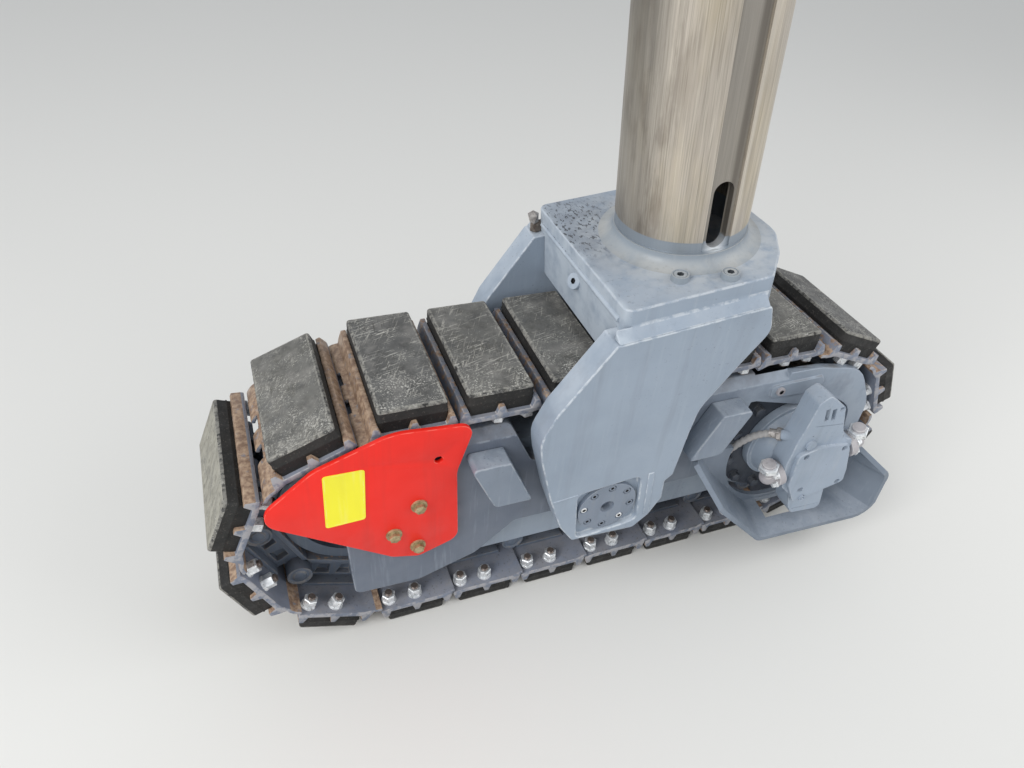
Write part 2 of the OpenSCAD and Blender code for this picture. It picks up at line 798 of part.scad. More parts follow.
arm_outline = [
    [-10, arm_top, 6], [-103, arm_top - 108, 40], [-131, 215, 60], [-128, 170, 30], [-113, 73, 60], [-93, -14, 20],
    [-69, -62, 10], [56, -82, 12], [86, -58, 10], [110, -20, 8], [111, 26, 4], [126, 38, 6],
    [144, 136, 60], [156, 190, 60], [217, arm_top - 106, 60], [264, arm_top - 51, 30],
    [254, arm_top, 6]
];

module arm() {
    r = recess_half;
    difference() {
        across(arm_in, arm_out) polygon(rounded(arm_outline));
        across(arm_out - recess_d, arm_out + 1)
            polygon(rounded([[-r, -r, 14], [r, -r, 14], [r, r, 14], [-r, r, 14]]));
        y_cylinder(pivot_r + seat / 2, arm_in - 1, arm_out);
    }
}

module arm_near() {
    color(paint) in_fork() mirror([0, 1, 0]) arm();
}

module arm_far() {
    color(paint) in_fork() arm();
}

module pivot_pin() {
    difference() {
        union() {
            y_cylinder(pivot_r, web_in, arm_out - recess_d);
            y_cylinder(flange_r, arm_out - recess_d, arm_out - recess_d + flange_t);
        }
        y_cylinder(6, arm_out - 30, arm_out);
        for (k = [0 : 7]) rotate([0, 45 * k + 10, 0]) translate([flange_r - 11, 0, 0])
            y_cylinder(4.5, arm_out - recess_d + 2, arm_out);
    }
}

module pivot_pin_near() {
    color(zinc) in_fork() mirror([0, 1, 0]) pivot_pin();
}

module pivot_pin_far() {
    color(zinc) in_fork() pivot_pin();
}

crown_plan = [
    [crown_left, -crown_half_w, 16], [arm_seat, -crown_half_w, 10], [306, -crown_half_w + 55, 30],
    [crown_back, -60, 60], [crown_back, 60, 60], [306, crown_half_w - 55, 30],
    [arm_seat, crown_half_w, 10], [crown_left, crown_half_w, 16]
];

module crown() {
    bevel = arm_out - crown_half_w;
    under = arm_top - crown_deep;
    reach = crown_back + 40;
    color(paint) in_fork() {
        translate([0, 0, arm_top]) linear_extrude(crown_above) polygon(rounded(crown_plan));
        both_sides() translate([crown_left - 16, 0, 0]) rotate([90, 0, 90])
            linear_extrude(arm_seat - crown_left + 10)
                polygon([[crown_half_w - 1, arm_top], [crown_half_w + bevel, arm_top],
                         [crown_half_w - 1, arm_top + crown_above - crown_plate_t]]);
        intersection() {
            translate([0, 0, under - 10]) linear_extrude(crown_deep + 10) polygon(rounded(crown_plan));
            across(-arm_in, arm_in)
                polygon([[0, under], [crown_left, under],
                         [reach, under + (reach - crown_left) * tan(crown_rise)],
                         [reach, arm_top], [0, arm_top]]);
        }
    }
}

module collar() {
    color(paint) in_fork() translate([column_x, 0, crown_top]) rotate_extrude($fn = 96)
        polygon([[column_r + seat, 0], [collar_r, 0], [collar_r - 4, collar_h * 0.4],
                 [column_r + 6, collar_h], [column_r + seat, collar_h]]);
}

module column() {
    color(bare) in_fork() translate([column_x, 0, crown_top]) difference() {
        rotate_extrude($fn = 96)
            polygon([[column_bore, 0], [column_r, 0], [column_r, groove_z], [column_r - groove_d, groove_z],
                     [column_r - groove_d, groove_z + groove_w], [column_r, groove_z + groove_w],
                     [column_r, column_h], [column_bore, column_h]]);
        translate([-keyway_w / 2, -column_r - 10, collar_h + 4])
            cube([keyway_w, 10 + keyway_d, column_h]);
        for (z = [slot_w / 2, slot_l - slot_w / 2])
            translate([0, 0, slot_foot + z]) y_cylinder(slot_w / 2, -column_r - 1, 0);
        translate([-slot_w / 2, -column_r - 1, slot_foot + slot_w / 2])
            cube([slot_w, column_r, slot_l - slot_w]);
    }
}

track_frame();
side_box_near();
side_box_far();
idler_yoke();
tensioner();
idler_wheel();
idler_axle();
bottom_rollers();
roller_axles();
chain_links();
track_shoes();
shoe_pads();
sprocket();
final_drive();
motor_housing();
motor_valve_block();
port_elbow_front();
port_elbow_rear();
drain_hose();
motor_guard();
idler_guard();
stop_near_front();
stop_near_rear();
stop_far_front();
stop_far_rear();
arm_near();
arm_far();
crown();
collar();
column();
pivot_pin_near();
pivot_pin_far();
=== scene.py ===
import math
import random

import bmesh
import bpy
from mathutils import Matrix, Vector


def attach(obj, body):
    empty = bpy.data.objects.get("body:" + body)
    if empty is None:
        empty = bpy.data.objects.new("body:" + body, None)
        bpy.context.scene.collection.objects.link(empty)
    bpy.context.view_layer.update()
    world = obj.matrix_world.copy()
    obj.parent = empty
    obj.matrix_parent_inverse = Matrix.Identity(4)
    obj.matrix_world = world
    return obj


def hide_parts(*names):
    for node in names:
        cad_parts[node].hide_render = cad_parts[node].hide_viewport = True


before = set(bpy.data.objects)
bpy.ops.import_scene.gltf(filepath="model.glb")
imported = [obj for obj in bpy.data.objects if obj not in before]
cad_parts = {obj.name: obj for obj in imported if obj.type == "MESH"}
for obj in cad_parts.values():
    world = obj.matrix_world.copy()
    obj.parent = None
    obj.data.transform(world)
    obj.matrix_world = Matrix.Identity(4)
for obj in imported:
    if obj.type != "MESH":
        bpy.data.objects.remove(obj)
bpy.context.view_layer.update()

MM = 0.001

# The camera: where it stands in metres, the three directions of its picture, and its focal length
# in pixels of a picture 1024 wide.
CAMERA_AT = (-0.5488, -0.9184, 1.2729)
CAMERA_RIGHT = (0.93475, -0.34746, 0.07423)
CAMERA_UP = (0.16994, 0.62068, 0.76543)
CAMERA_AHEAD = (0.31203, 0.70287, -0.63923)
FOCAL_PX = 738.64
PICTURE_W = 1024
SENSOR_MM = 36.0

# Sizes of the chain in millimetres, as in the part's source. Its pins lie on two flat runs and on a
# half circle of links at each end.
PITCH = 140
FLAT_LINKS = 6
END_LINKS = 4
LINK_COUNT = 2 * (FLAT_LINKS + END_LINKS)
PIN_LOW = 87
END_R = PITCH / (2 * math.sin(math.radians(90 / END_LINKS)))
CENTRE_Z = PIN_LOW + END_R
HALF_RUN = FLAT_LINKS * PITCH / 2
LINK_IN = 22
LINK_OUT = 48
LINK_HALF_H = 24
BOSS_OUT = 75
BUSHING_R = 16
# The shoe plate, with its lip, its grousers and its nuts, and the pad. A lip reaches LIP_MORE degrees
# further round the next pin than the chain bends there. Where it bends more than SHARP_BEND degrees,
# the lip is notched and rusty.
PLATE_IN = 35
PLATE_OUT = 45
PLATE_HALF_W = 130
LIP_R = PLATE_IN - 0.7
LIP_T = 7
LIP_MORE = 7
SHARP_BEND = 20
GROUSER_X = 59
GROUSER_H = 15
NUTS_X = (-50, 0)
NUT_Y = 109
WASHER_T = 3
PAD_HALF_L = 54
PAD_HALF_W = 122
PAD_T = 42
# Links with dusty pads, links with rusty shoes, and the two links at the idler's foot.
IDLER_LINKS = (17, 18)
RUSTY_LINKS = (15, 16, 17, 18)
FOOT_LINKS = (0, LINK_COUNT - 1)
# The fork leans about the pendulum's axis, and its own heights count from there.
PIVOT = (-14, 0, 272)
LEAN = 6
ARM_OUT = 188
PIN_RECESS = 12
PIN_FLANGE_T = 8
PIN_FACE = ARM_OUT - PIN_RECESS + PIN_FLANGE_T
PIN_SCREWS = 8
PIN_SCREWS_R = 46
PIN_SCREWS_TURN = 10
SCREW_SEAT = 4
CROWN_TOP = 418
CROWN_LEFT = 9
COLUMN_X = 190
COLUMN_R = 107
COLLAR_R = 132
COLLAR_H = 20
# The drive, and the motor's block, cover and ports in directions that are turned with the motor.
DRIVE = (420, 0, CENTRE_Z)
DRIVE_BOLTS = 12
DRIVE_BOLTS_R = 128
DRIVE_BOLTS_Y = -112
MOTOR_TURN = 13
MOTOR_OUT = 220
COVER_T = 9
COVER_SCREWS = ((-28, 57), (60, 37), (62, -67), (-27, -43))
COVER_SEAT = 8.5
PORT_Y = 25 - MOTOR_OUT
PORT_Z = 8
# The red guard's inner side and thickness.
GUARD_Y = -(PLATE_HALF_W + 7)
GUARD_T = 8
# The drain hose: the four control points of its line in metres, and its diameter.
HOSE_ROUTE = ((0.272, -0.120, 0.252), (0.292, -0.128, 0.296), (0.316, -0.140, 0.332), (0.340, -0.168, 0.344))
HOSE_D = 0.015
HOSE_POINTS = 33


def add_object(name, data):
    """Makes an object of its data and puts it in the scene."""
    made = bpy.data.objects.new(name, data)
    bpy.context.collection.objects.link(made)
    return made


def make_camera():
    data = bpy.data.cameras.new("camera")
    data.sensor_fit = "HORIZONTAL"
    data.sensor_width = SENSOR_MM
    data.lens = FOCAL_PX / PICTURE_W * SENSOR_MM
    camera = add_object("camera", data)
    behind = [-a for a in CAMERA_AHEAD]
    turned = Matrix((CAMERA_RIGHT, CAMERA_UP, behind)).transposed().to_4x4()
    camera.matrix_world = Matrix.Translation(CAMERA_AT) @ turned
    bpy.context.scene.camera = camera


# Materials


def linear(text):
    """Linear colour of an sRGB hex value."""
    parts = [int(text[k:k + 2], 16) / 255 for k in (1, 3, 5)]
    parts = [p / 12.92 if p <= 0.04045 else ((p + 0.055) / 1.055) ** 2.4 for p in parts]
    return (*parts, 1.0)


def add_node(tree, kind, settings=None, links=None):
    """Adds a node. Settings with small letters are its own, the others go to its sockets."""
    made = tree.nodes.new("ShaderNode" + kind)
    for key, value in (settings or {}).items():
        if isinstance(key, int) or key[0].isupper():
            made.inputs[key].default_value = value
        else:
            setattr(made, key, value)
    for key, source in (links or {}).items():
        tree.links.new(source, made.inputs[key])
    return made


def new_material(name):
    material = bpy.data.materials.new(name)
    material.use_nodes = True
    tree = material.node_tree
    place = add_node(tree, "TexCoord").outputs["Object"]
    return material, tree, tree.nodes["Principled BSDF"], place


def patches(tree, place, size, low, high, detail=4.0, roughness=0.6):
    """Mask of irregular patches of a size in millimetres: 0 below low, 1 above high."""
    noise = add_node(tree, "TexNoise", {"Scale": 1 / (size * MM), "Detail": detail, "Roughness": roughness},
                     {"Vector": place})
    return add_node(tree, "MapRange", {"From Min": low, "From Max": high},
                    {"Value": noise.outputs[0]}).outputs[0]


def over(tree, under, colour, *masks):
    """Lays a colour over another where all the masks are 1. A mask may be a plain share."""
    share, mask = 1.0, None
    for part in masks:
        if isinstance(part, float):
            share *= part
        elif mask is None:
            mask = part
        else:
            mask = add_node(tree, "Math", {"operation": "MULTIPLY"}, {0: mask, 1: part}).outputs[0]
    if share != 1.0:
        mask = add_node(tree, "Math", {"operation": "MULTIPLY", 1: share}, {0: mask}).outputs[0]
    mix = add_node(tree, "Mix", {"data_type": "RGBA"}, {0: mask})
    for socket, value in ((6, under), (7, colour)):
        if isinstance(value, str):
            mix.inputs[socket].default_value = linear(value)
        else:
            tree.links.new(value, mix.inputs[socket])
    return mix.outputs[2]


def fork_place(tree, place):
    """The place in the leaning fork's own directions, in metres from the pendulum's axis."""
    turn = Matrix.Rotation(math.radians(LEAN), 3, "Y")
    return add_node(tree, "Mapping", {"Rotation": (0.0, math.radians(LEAN), 0.0),
                                      "Location": turn @ Vector(PIVOT) * -MM}, {"Vector": place}).outputs[0]


def near_to(tree, place, spot, inner, outer):
    """Mask of what lies near a spot: 1 up to a distance in metres, and 0 beyond another."""
    away = add_node(tree, "VectorMath", {"operation": "DISTANCE", 1: spot}, {0: place})
    return add_node(tree, "MapRange", {"From Min": outer, "From Max": inner},
                    {"Value": away.outputs["Value"]}).outputs[0]


def within(tree, value, low, high, soft):
    """Mask of the values between two, with soft ends."""
    middle, half = (low + high) / 2, (high - low) / 2
    away = add_node(tree, "Math", {"operation": "SUBTRACT", 1: middle}, {0: value})
    away = add_node(tree, "Math", {"operation": "ABSOLUTE"}, {0: away.outputs[0]})
    return add_node(tree, "MapRange", {"From Min": half + soft, "From Max": half - soft},
                    {"Value": away.outputs[0]}).outputs[0]


def facing_up(tree, low, high):
    """Mask of what faces up, where dust settles."""
    normal = add_node(tree, "NewGeometry").outputs["Normal"]
    split = add_node(tree, "SeparateXYZ", {}, {"Vector": normal})
    return add_node(tree, "MapRange", {"From Min": low, "From Max": high},
                    {"Value": split.outputs["Z"]}).outputs[0]


def marks(tree):
    """The piece's own attribute, as mark_faces sets it."""
    mark = add_node(tree, "Attribute", {"attribute_name": "wear"})
    split = add_node(tree, "SeparateXYZ", {}, {"Vector": mark.outputs["Vector"]})
    return split.outputs["X"], split.outputs["Y"], split.outputs["Z"]


def grain(tree, shader, place, size, height):
    """Bump from a grain of a size and a height in millimetres."""
    noise = add_node(tree, "TexNoise", {"Scale": 1 / (size * MM), "Detail": 3.0}, {"Vector": place})
    bump = add_node(tree, "Bump", {"Distance": height * MM, "Strength": 1.0}, {"Height": noise.outputs[0]})
    tree.links.new(bump.outputs["Normal"], shader.inputs["Normal"])


def sheen(tree, shader, place, size, smooth, rough):
    """Roughness that wanders between two values in patches of a size in millimetres."""
    noise = add_node(tree, "TexNoise", {"Scale": 1 / (size * MM), "Detail": 3.0}, {"Vector": place})
    spread = add_node(tree, "MapRange",
                      {"From Min": 0.35, "From Max": 0.65, "To Min": smooth, "To Max": rough},
                      {"Value": noise.outputs[0]})
    tree.links.new(spread.outputs[0], shader.inputs["Roughness"])


RUST = ("#7d6553", "#ab937c")
SOCKET_DARK = "#1c1d20"


def enamel(name, base, cloud, dust, grime, worn, rubbed=RUST, film=0.4, speckle=0.5, edges=0.6,
           smooth=0.38, rough=0.6, grain_mm=3.0, grain_h=0.05, streak=0.3, last=None):
    """Sprayed two-part enamel on steel: a smooth skin with orange peel, clouded by dust and handling,
    specked with grime, and gone at the edges. The pale dust on what faces up also stands for painted
    top light. Each pattern has the width of the real dirt, in millimetres. A function given as last adds
    marks of one piece alone."""
    material, tree, shader, place = new_material(name)
    edge, rub, tread = marks(tree)
    colour = over(tree, base, cloud, patches(tree, place, 210, 0.4, 0.68))
    # Dust on what faces up, whose pale colour also stands for painted top light.
    colour = over(tree, colour, dust, facing_up(tree, 0.25, 0.95), patches(tree, place, 60, 0.3, 0.62), film)
    # Rain draws dirt and dust down into runs.
    runs = add_node(tree, "Mapping", {"Scale": (1.0, 1.0, 0.07)}, {"Vector": place}).outputs[0]
    colour = over(tree, colour, grime, patches(tree, runs, 26, 0.52, 0.8), 0.22)
    colour = over(tree, colour, dust, patches(tree, runs, 9, 0.56, 0.72), streak)
    # Specks in drifts, paint gone from the edges, and specks that lie on what faces up.
    colour = over(tree, colour, grime, patches(tree, place, 5, 0.66, 0.7, 2.0),
                  patches(tree, place, 120, 0.45, 0.7), speckle)
    colour = over(tree, colour, worn, edge, patches(tree, place, 14, 0.42, 0.56), edges)
    colour = over(tree, colour, grime, facing_up(tree, 0.6, 0.9), patches(tree, place, 7, 0.62, 0.66, 3.0),
                  speckle * 0.6)
    if last:
        colour = last(tree, place, colour)
    # Rubbed faces lose the paint in patches. Sockets are dark.
    worn_through = add_node(tree, "Math", {"operation": "MULTIPLY_ADD", 1: 0.9},
                            {0: patches(tree, place, 11, 0.3, 0.7), 2: rub})
    bare = add_node(tree, "MapRange", {"From Min": 0.95, "From Max": 1.25},
                    {"Value": worn_through.outputs[0]})
    rust = over(tree, rubbed[0], rubbed[1], patches(tree, place, 9, 0.4, 0.62))
    colour = over(tree, colour, rust, bare.outputs[0])
    colour = over(tree, colour, SOCKET_DARK, tread)
    tree.links.new(colour, shader.inputs["Base Color"])
    sheen(tree, shader, place, 40, smooth, rough)
    grain(tree, shader, place, grain_mm, grain_h)
    return material


def crown_marks(tree, place, colour):
    """Pale dust round the collar, dust and painted light down the left wall, a dark chipped corner far left.
    """
    top = CROWN_TOP * MM
    spot = fork_place(tree, place)
    level = add_node(tree, "Mapping", {"Scale": (1.0, 1.0, 0.0)}, {"Vector": spot}).outputs[0]
    across = add_node(tree, "SeparateXYZ", {}, {"Vector": spot}).outputs["X"]
    chips = add_node(tree, "Mapping", {"Scale": (1.0, 0.5, 1.0)}, {"Vector": place}).outputs[0]
    colour = over(tree, colour, "#b4b8bb", near_to(tree, level, (COLUMN_X * MM, 0.0, 0.0), 0.138, 0.19),
                  patches(tree, place, 30, 0.35, 0.55), facing_up(tree, 0.7, 0.9), 0.75)
    # Pale dust and painted light down the left wall.
    colour = over(tree, colour, "#b3bcc5", within(tree, across, -0.02, 0.016, 0.004),
                  patches(tree, place, 38, 0.3, 0.55), 0.75)
    colour = over(tree, colour, "#747b85", near_to(tree, spot, (0.05, 0.06, top), 0.05, 0.17),
                  facing_up(tree, 0.7, 0.9), patches(tree, place, 24, 0.3, 0.6), 0.6)
    return over(tree, colour, "#2f3136", near_to(tree, spot, (0.032, 0.085, top), 0.045, 0.125),
                patches(tree, chips, 5, 0.565, 0.585, 3.0), facing_up(tree, 0.7, 0.9), 0.85)


def box_shade_and_dirt(tree, place, colour):
    """The side boxes are dark with painted shade at the idler, paler towards the drive, brown with dirt on
    top.
    """
    along = add_node(tree, "SeparateXYZ", {}, {"Vector": place}).outputs["X"]
    # Less painted shade towards the drive: paler there.
    colour = over(tree, colour, "#949fac", within(tree, along, 0.22, 1.2, 0.12),
                  patches(tree, place, 70, 0.15, 0.5), 0.85)
    return over(tree, colour, "#6f665e", facing_up(tree, 0.5, 0.9),
                patches(tree, place, 40, 0.45, 0.65), 0.55)


# Two-part enamel on the fork: a light blue-grey, half glossy. Its pale dust on top is painted highlight as
# well as dust.
GREY = enamel("sprayed_grey_enamel", "#929eac", "#8894a2", "#c2c9d0", "#5b5c5f", "#ccd1d4",
              film=0.85, edges=0.55, streak=0.08)
# The same enamel on the crown, with its chips and dust, and painted light down its left wall.
CROWN = enamel("chipped_grey_enamel", "#929eac", "#8a96a4", "#a6adb5", "#5b5c5f", "#c9cdd0",
               film=0.5, edges=0.5, last=crown_marks)
# The same enamel under the pale dust that lies in the collar's fillet.
COLLAR = enamel("dusty_grey_enamel", "#8f979f", "#89929a", "#a9aaa8", "#6c665e", "#b9bbb9", film=0.95,
                speckle=0.3, edges=0.3, rough=0.7)
# The same enamel on the track's frame, darker with painted shade; its pale dust on top is painted light as
# well.
FRAME = enamel("grey_enamel_with_painted_shade", "#7c8693", "#717b88", "#a3abb4", "#4f5054", "#a9aeb3",
               film=0.8, speckle=0.6, edges=0.45, rough=0.68)
# The same enamel on the frame's top, paler, without the painted shade that FRAME carries.
DECK = enamel("grey_enamel_on_frame_top", "#909ba8", "#85909d", "#a6adb4", "#4f5054", "#b4b9be",
              film=0.7, speckle=0.6, edges=0.45, rough=0.68)
# The same enamel on the side boxes, darkened with painted shade.
BOX = enamel("grey_enamel_with_painted_shade_on_boxes", "#68707d", "#5f6774", "#98a0aa", "#44464b", "#9aa1a9",
             film=0.7, speckle=0.6, edges=0.5, rough=0.7, last=box_shade_and_dirt)
# The same enamel on the motor's pressed guard, thin, and darker all over with painted shade.
GUARD = enamel("thin_grey_enamel_with_painted_shade", "#78828f", "#69737f", "#959ca5", "#505359", "#b4bac0",
               film=0.5, edges=0.45)
# The enamel on the cast idler wheel, dulled by what the chain drops on it.
WHEEL = enamel("dull_enamel_on_cast_wheel", "#667180", "#58626f", "#8b8f92", "#393b40", "#8e949b",
               film=0.5, speckle=0.7, edges=0.5, rough=0.7, grain_mm=4.0, grain_h=0.2)
# The same enamel, thin, on the shoe plates: darker with road dirt, gone to rust where plates rub.
SHOE = enamel("thin_enamel_on_rolled_steel", "#747b8a", "#656c7a", "#8d8781", "#3d3a38", "#aaa7a6",
              film=0.4, speckle=0.7, edges=0.9, rough=0.7)
# The enamel on the chain's forged links: dark, dull and dirty.
LINK = enamel("dull_enamel_on_forged_steel", "#66707f", "#545d6a", "#6f6a64", "#2c2b2c", "#8a847c",
              film=0.5, speckle=0.7, edges=0.5, rough=0.75, grain_mm=4.0, grain_h=0.25)
# The enamel on sand-cast iron: the casting's grain shows through.
CAST = enamel("enamel_on_sand_cast_iron", "#97a3b2", "#8c98a6", "#a9adb1", "#55565a", "#b9bfc6",
              film=0.4, edges=0.35, grain_mm=4.0, grain_h=0.22)
# Overspray and dust on the zinc-plated port elbows: a pale pinkish grey.
PORT = enamel("overspray_on_zinc_plate", "#aaa6a8", "#989599", "#bdb9b7", "#6a6563", "#d2cfcd",
              film=0.5, edges=0.6, smooth=0.3, rough=0.5)
# Dark, grimy grey enamel inside the drive's opening, darkened further with painted shade.
DARK = enamel("dark_grey_enamel_with_painted_shade", "#4b515c", "#3c4149", "#62605c", "#26262a", "#6d6f73",
              film=0.5, speckle=0.7, edges=0.5, rough=0.7)
# Enamel on the turned flange of the pendulum pins.
PIN = enamel("enamel_on_turned_steel", "#7a8492", "#6f7986", "#8b8f94", "#3f4146", "#a3a9b1",
             film=0.3, speckle=0.7, edges=0.5)
# Signal red enamel on the guard over the idler, fresh and half glossy.
RED = enamel("sprayed_signal_red_enamel", "#ec1c08", "#e01a08", "#ea3a28", "#9c241b", "#f58d7c",
             ("#9c241b", "#b53a2c"), film=0.1, speckle=0.15, edges=0.4, smooth=0.4, rough=0.55,
             streak=0.1)


def polyurethane():
    """Cast polyurethane pads: black and dull on the sides, scuffed grey on the tread, with stone dust
    that lies thick on some of them."""
    material, tree, shader, place = new_material("cast_polyurethane")
    edge, dusty, tread = marks(tree)
    side = over(tree, "#181817", "#252321", patches(tree, place, 50, 0.4, 0.65))
    side = over(tree, side, "#5a554f", patches(tree, place, 4, 0.62, 0.68, 2.0), 0.4)
    top = over(tree, "#454545", "#5b5b5a", patches(tree, place, 90, 0.38, 0.62))
    top = over(tree, top, "#383838", patches(tree, place, 26, 0.5, 0.62), 0.6)
    top = over(tree, top, "#7b7976", patches(tree, place, 40, 0.5, 0.66), 0.6)
    # Scuffs that cross each other: the way they run, their width in millimetres and their colour.
    scuffs = ((0.5, 2.6, "#a5a29a"), (-0.9, 2.4, "#333230"), (1.3, 2.0, "#bab8b0"), (0.1, 3.0, "#3a3936"))
    for turn, width, tone in scuffs:
        turned = add_node(tree, "Mapping", {"Rotation": (0.0, 0.0, turn)}, {"Vector": place}).outputs[0]
        drawn = add_node(tree, "Mapping", {"Scale": (1.0, 0.07, 1.0)}, {"Vector": turned}).outputs[0]
        top = over(tree, top, tone, patches(tree, drawn, width, 0.6, 0.66, 1.0),
                   patches(tree, place, 50, 0.42, 0.6), 0.7)
    # Stone ground into the near half of the treads, and then into all of them.
    outward = add_node(tree, "SeparateXYZ", {}, {"Vector": place}).outputs["Y"]
    top = over(tree, top, "#c9c7bf", patches(tree, place, 3.0, 0.55, 0.62, 3.0),
               patches(tree, place, 42, 0.42, 0.6), within(tree, outward, -0.16, -0.045, 0.04), 0.85)
    top = over(tree, top, "#b3b1a8", patches(tree, place, 3.4, 0.6, 0.66, 2.0),
               patches(tree, place, 45, 0.5, 0.62), 0.7)
    settled = add_node(tree, "Mapping", {"Scale": (1.0, 1.0, 0.3)}, {"Vector": place}).outputs[0]
    dust = over(tree, "#8d8a7f", "#a19e92", patches(tree, settled, 14, 0.4, 0.62))
    dust = over(tree, dust, "#5f5d56", patches(tree, place, 12, 0.56, 0.66), 0.6)
    top = over(tree, top, dust, patches(tree, place, 24, 0.2, 0.5), dusty)
    mask = add_node(tree, "Math", {"operation": "MULTIPLY_ADD", 1: 0.5},
                    {0: patches(tree, place, 8, 0.3, 0.7), 2: tread})
    worn = add_node(tree, "MapRange", {"From Min": 0.7, "From Max": 0.95}, {"Value": mask.outputs[0]})
    colour = over(tree, side, top, worn.outputs[0])
    colour = over(tree, colour, "#a5a299", edge, patches(tree, place, 9, 0.4, 0.58), 0.8)
    tree.links.new(colour, shader.inputs["Base Color"])
    sheen(tree, shader, place, 20, 0.6, 0.85)
    grain(tree, shader, place, 5, 0.9)
    return material


def turned_column():
    """Bare turned steel that slides in its guide: long faint marks down it, grey oil film, brown stains
    at the left, the left side darkened with oil and painted shade and higher up a painted dark reflection,
    a duller keyway with a line of painted shade along it, and a ring of paint where the fork's paint ran
    over it."""
    material, tree, shader, place = new_material("bare_turned_steel")
    spot = fork_place(tree, place)
    # The same place drawn out: far down the column, less far, and round it.
    scales = ((1.0, 1.0, 0.02), (1.0, 1.0, 0.25), (0.05, 0.05, 1.0))
    streaks, stains_and_reflection, turning = [add_node(tree, "Mapping", {"Scale": scale}, {"Vector": spot}).outputs[0]
                                for scale in scales]
    across, outward, height = add_node(tree, "SeparateXYZ", {}, {"Vector": spot}).outputs
    keyway = add_node(tree, "Math", {"operation": "LESS_THAN", 1: -0.09}, {0: outward}).outputs[0]
    colour = over(tree, "#b5aca1", "#c3baae", patches(tree, streaks, 40, 0.35, 0.65))
    # Film, lines and stains: colour, the way they run, width in millimetres, mask, detail and share.
    for tone, run, width, low, high, detail, share in (
            ("#8d867d", streaks, 14, 0.5, 0.68, 4.0, 0.5),
            ("#cbc3b7", streaks, 5, 0.52, 0.66, 4.0, 0.45),
            ("#6f685f", streaks, 3, 0.56, 0.68, 4.0, 0.4),
            ("#c6b898", stains_and_reflection, 70, 0.45, 0.65, 4.0, 0.4),
            ("#8f887c", streaks, 1.8, 0.5, 0.62, 1.0, 0.4),
            ("#ddd5c7", streaks, 2.2, 0.56, 0.66, 1.0, 0.35),
            ("#7d6c59", stains_and_reflection, 60, 0.52, 0.74, 4.0, 0.25)):
        colour = over(tree, colour, tone, patches(tree, run, width, low, high, detail), share)
    # The left side is darker with oil and painted shade, and higher up with a painted dark reflection of the
    # machine.
    colour = over(tree, colour, "#7d7a74", within(tree, across, 0.0, 0.095, 0.012), 0.6)
    colour = over(tree, colour, "#4c4a47", within(tree, across, 0.0, 0.092, 0.01),
                  within(tree, height, 0.76, 1.5, 0.2), patches(tree, stains_and_reflection, 60, 0.2, 0.45), 0.8)
    colour = over(tree, colour, "#6b6258", within(tree, across, 0.07, 0.112, 0.02),
                  patches(tree, stains_and_reflection, 30, 0.48, 0.62), 0.5)
    # The keyway's floor, a line of painted shade along its right wall, and the bright steel beside it.
    colour = over(tree, colour, "#86827c", within(tree, across, 0.1662, 0.2138, 0.0006), keyway, 0.75)
    colour = over(tree, colour, "#5c564f", within(tree, across, 0.199, 0.211, 0.003), keyway,
                  patches(tree, streaks, 20, 0.2, 0.5), 0.7)
    colour = over(tree, colour, "#c9c2b6", within(tree, across, 0.2145, 0.222, 0.002), keyway, 0.5)
    # The ring of paint at the foot, and a pale dab at the keyway's foot.
    dab = near_to(tree, spot, (COLUMN_X * MM, -0.094, 0.446), 0.012, 0.024)
    colour = over(tree, colour, "#96a0aa", within(tree, height, 0.40, 0.4585, 0.0008), 0.9)
    colour = over(tree, colour, "#d9dcde", dab, 0.9)
    tree.links.new(colour, shader.inputs["Base Color"])
    shader.inputs["Metallic"].default_value = 0.6
    sheen(tree, shader, streaks, 14, 0.34, 0.5)
    grain(tree, shader, turning, 3, 0.015)
    return material


def plated(name, bright, dull, dirt, metallic, smooth, rough):
    """Plate on fasteners: bright where clean, dulled and dirty in the corners, and gone from the ends
    of bolts, which are brown."""
    material, tree, shader, place = new_material(name)
    bare, tread = marks(tree)[1:]
    colour = over(tree, bright, dull, patches(tree, place, 9, 0.4, 0.6))
    colour = over(tree, colour, dirt, patches(tree, place, 5, 0.55, 0.65), 0.6)
    colour = over(tree, colour, "#5b4a3f", bare, 0.9)
    colour = over(tree, colour, SOCKET_DARK, tread)
    tree.links.new(colour, shader.inputs["Base Color"])
    shader.inputs["Metallic"].default_value = metallic
    sheen(tree, shader, place, 6, smooth, rough)
    return material


def rubbed_steel():
    """Cast and forged steel where the track runs on it: rusty brown, rubbed to grey metal."""
    material, tree, shader, place = new_material("rubbed_forged_steel")
    colour = over(tree, "#5a4c42", "#6f665e", patches(tree, place, 30, 0.4, 0.6))
    colour = over(tree, colour, "#8d857b", patches(tree, place, 8, 0.5, 0.62), 0.6)
    colour = over(tree, colour, "#33302e", patches(tree, place, 14, 0.56, 0.7), 0.7)
    tree.links.new(colour, shader.inputs["Base Color"])
    shader.inputs["Metallic"].default_value = 0.3
    sheen(tree, shader, place, 15, 0.4, 0.7)
    grain(tree, shader, place, 4, 0.3)
    return material


POLYURETHANE = polyurethane()
COLUMN = turned_column()
# Zinc is nearly white on the nuts and new screws, yellow on the guard's bolts, and dull on the hose's
# fittings.
ZINC = plated("bright_zinc_plate", "#f1f2f3", "#d2d5d7", "#77746f", metallic=0.55, smooth=0.3, rough=0.5)
YELLOW_ZINC = plated("yellow_zinc_plate", "#b9a884", "#978864", "#6f6147",
                     metallic=0.6, smooth=0.4, rough=0.6)
FITTING = plated("dull_zinc_plate", "#b5b1ad", "#948f8c", "#5f5a57", metallic=0.6, smooth=0.4, rough=0.65)
STEEL = rubbed_steel()
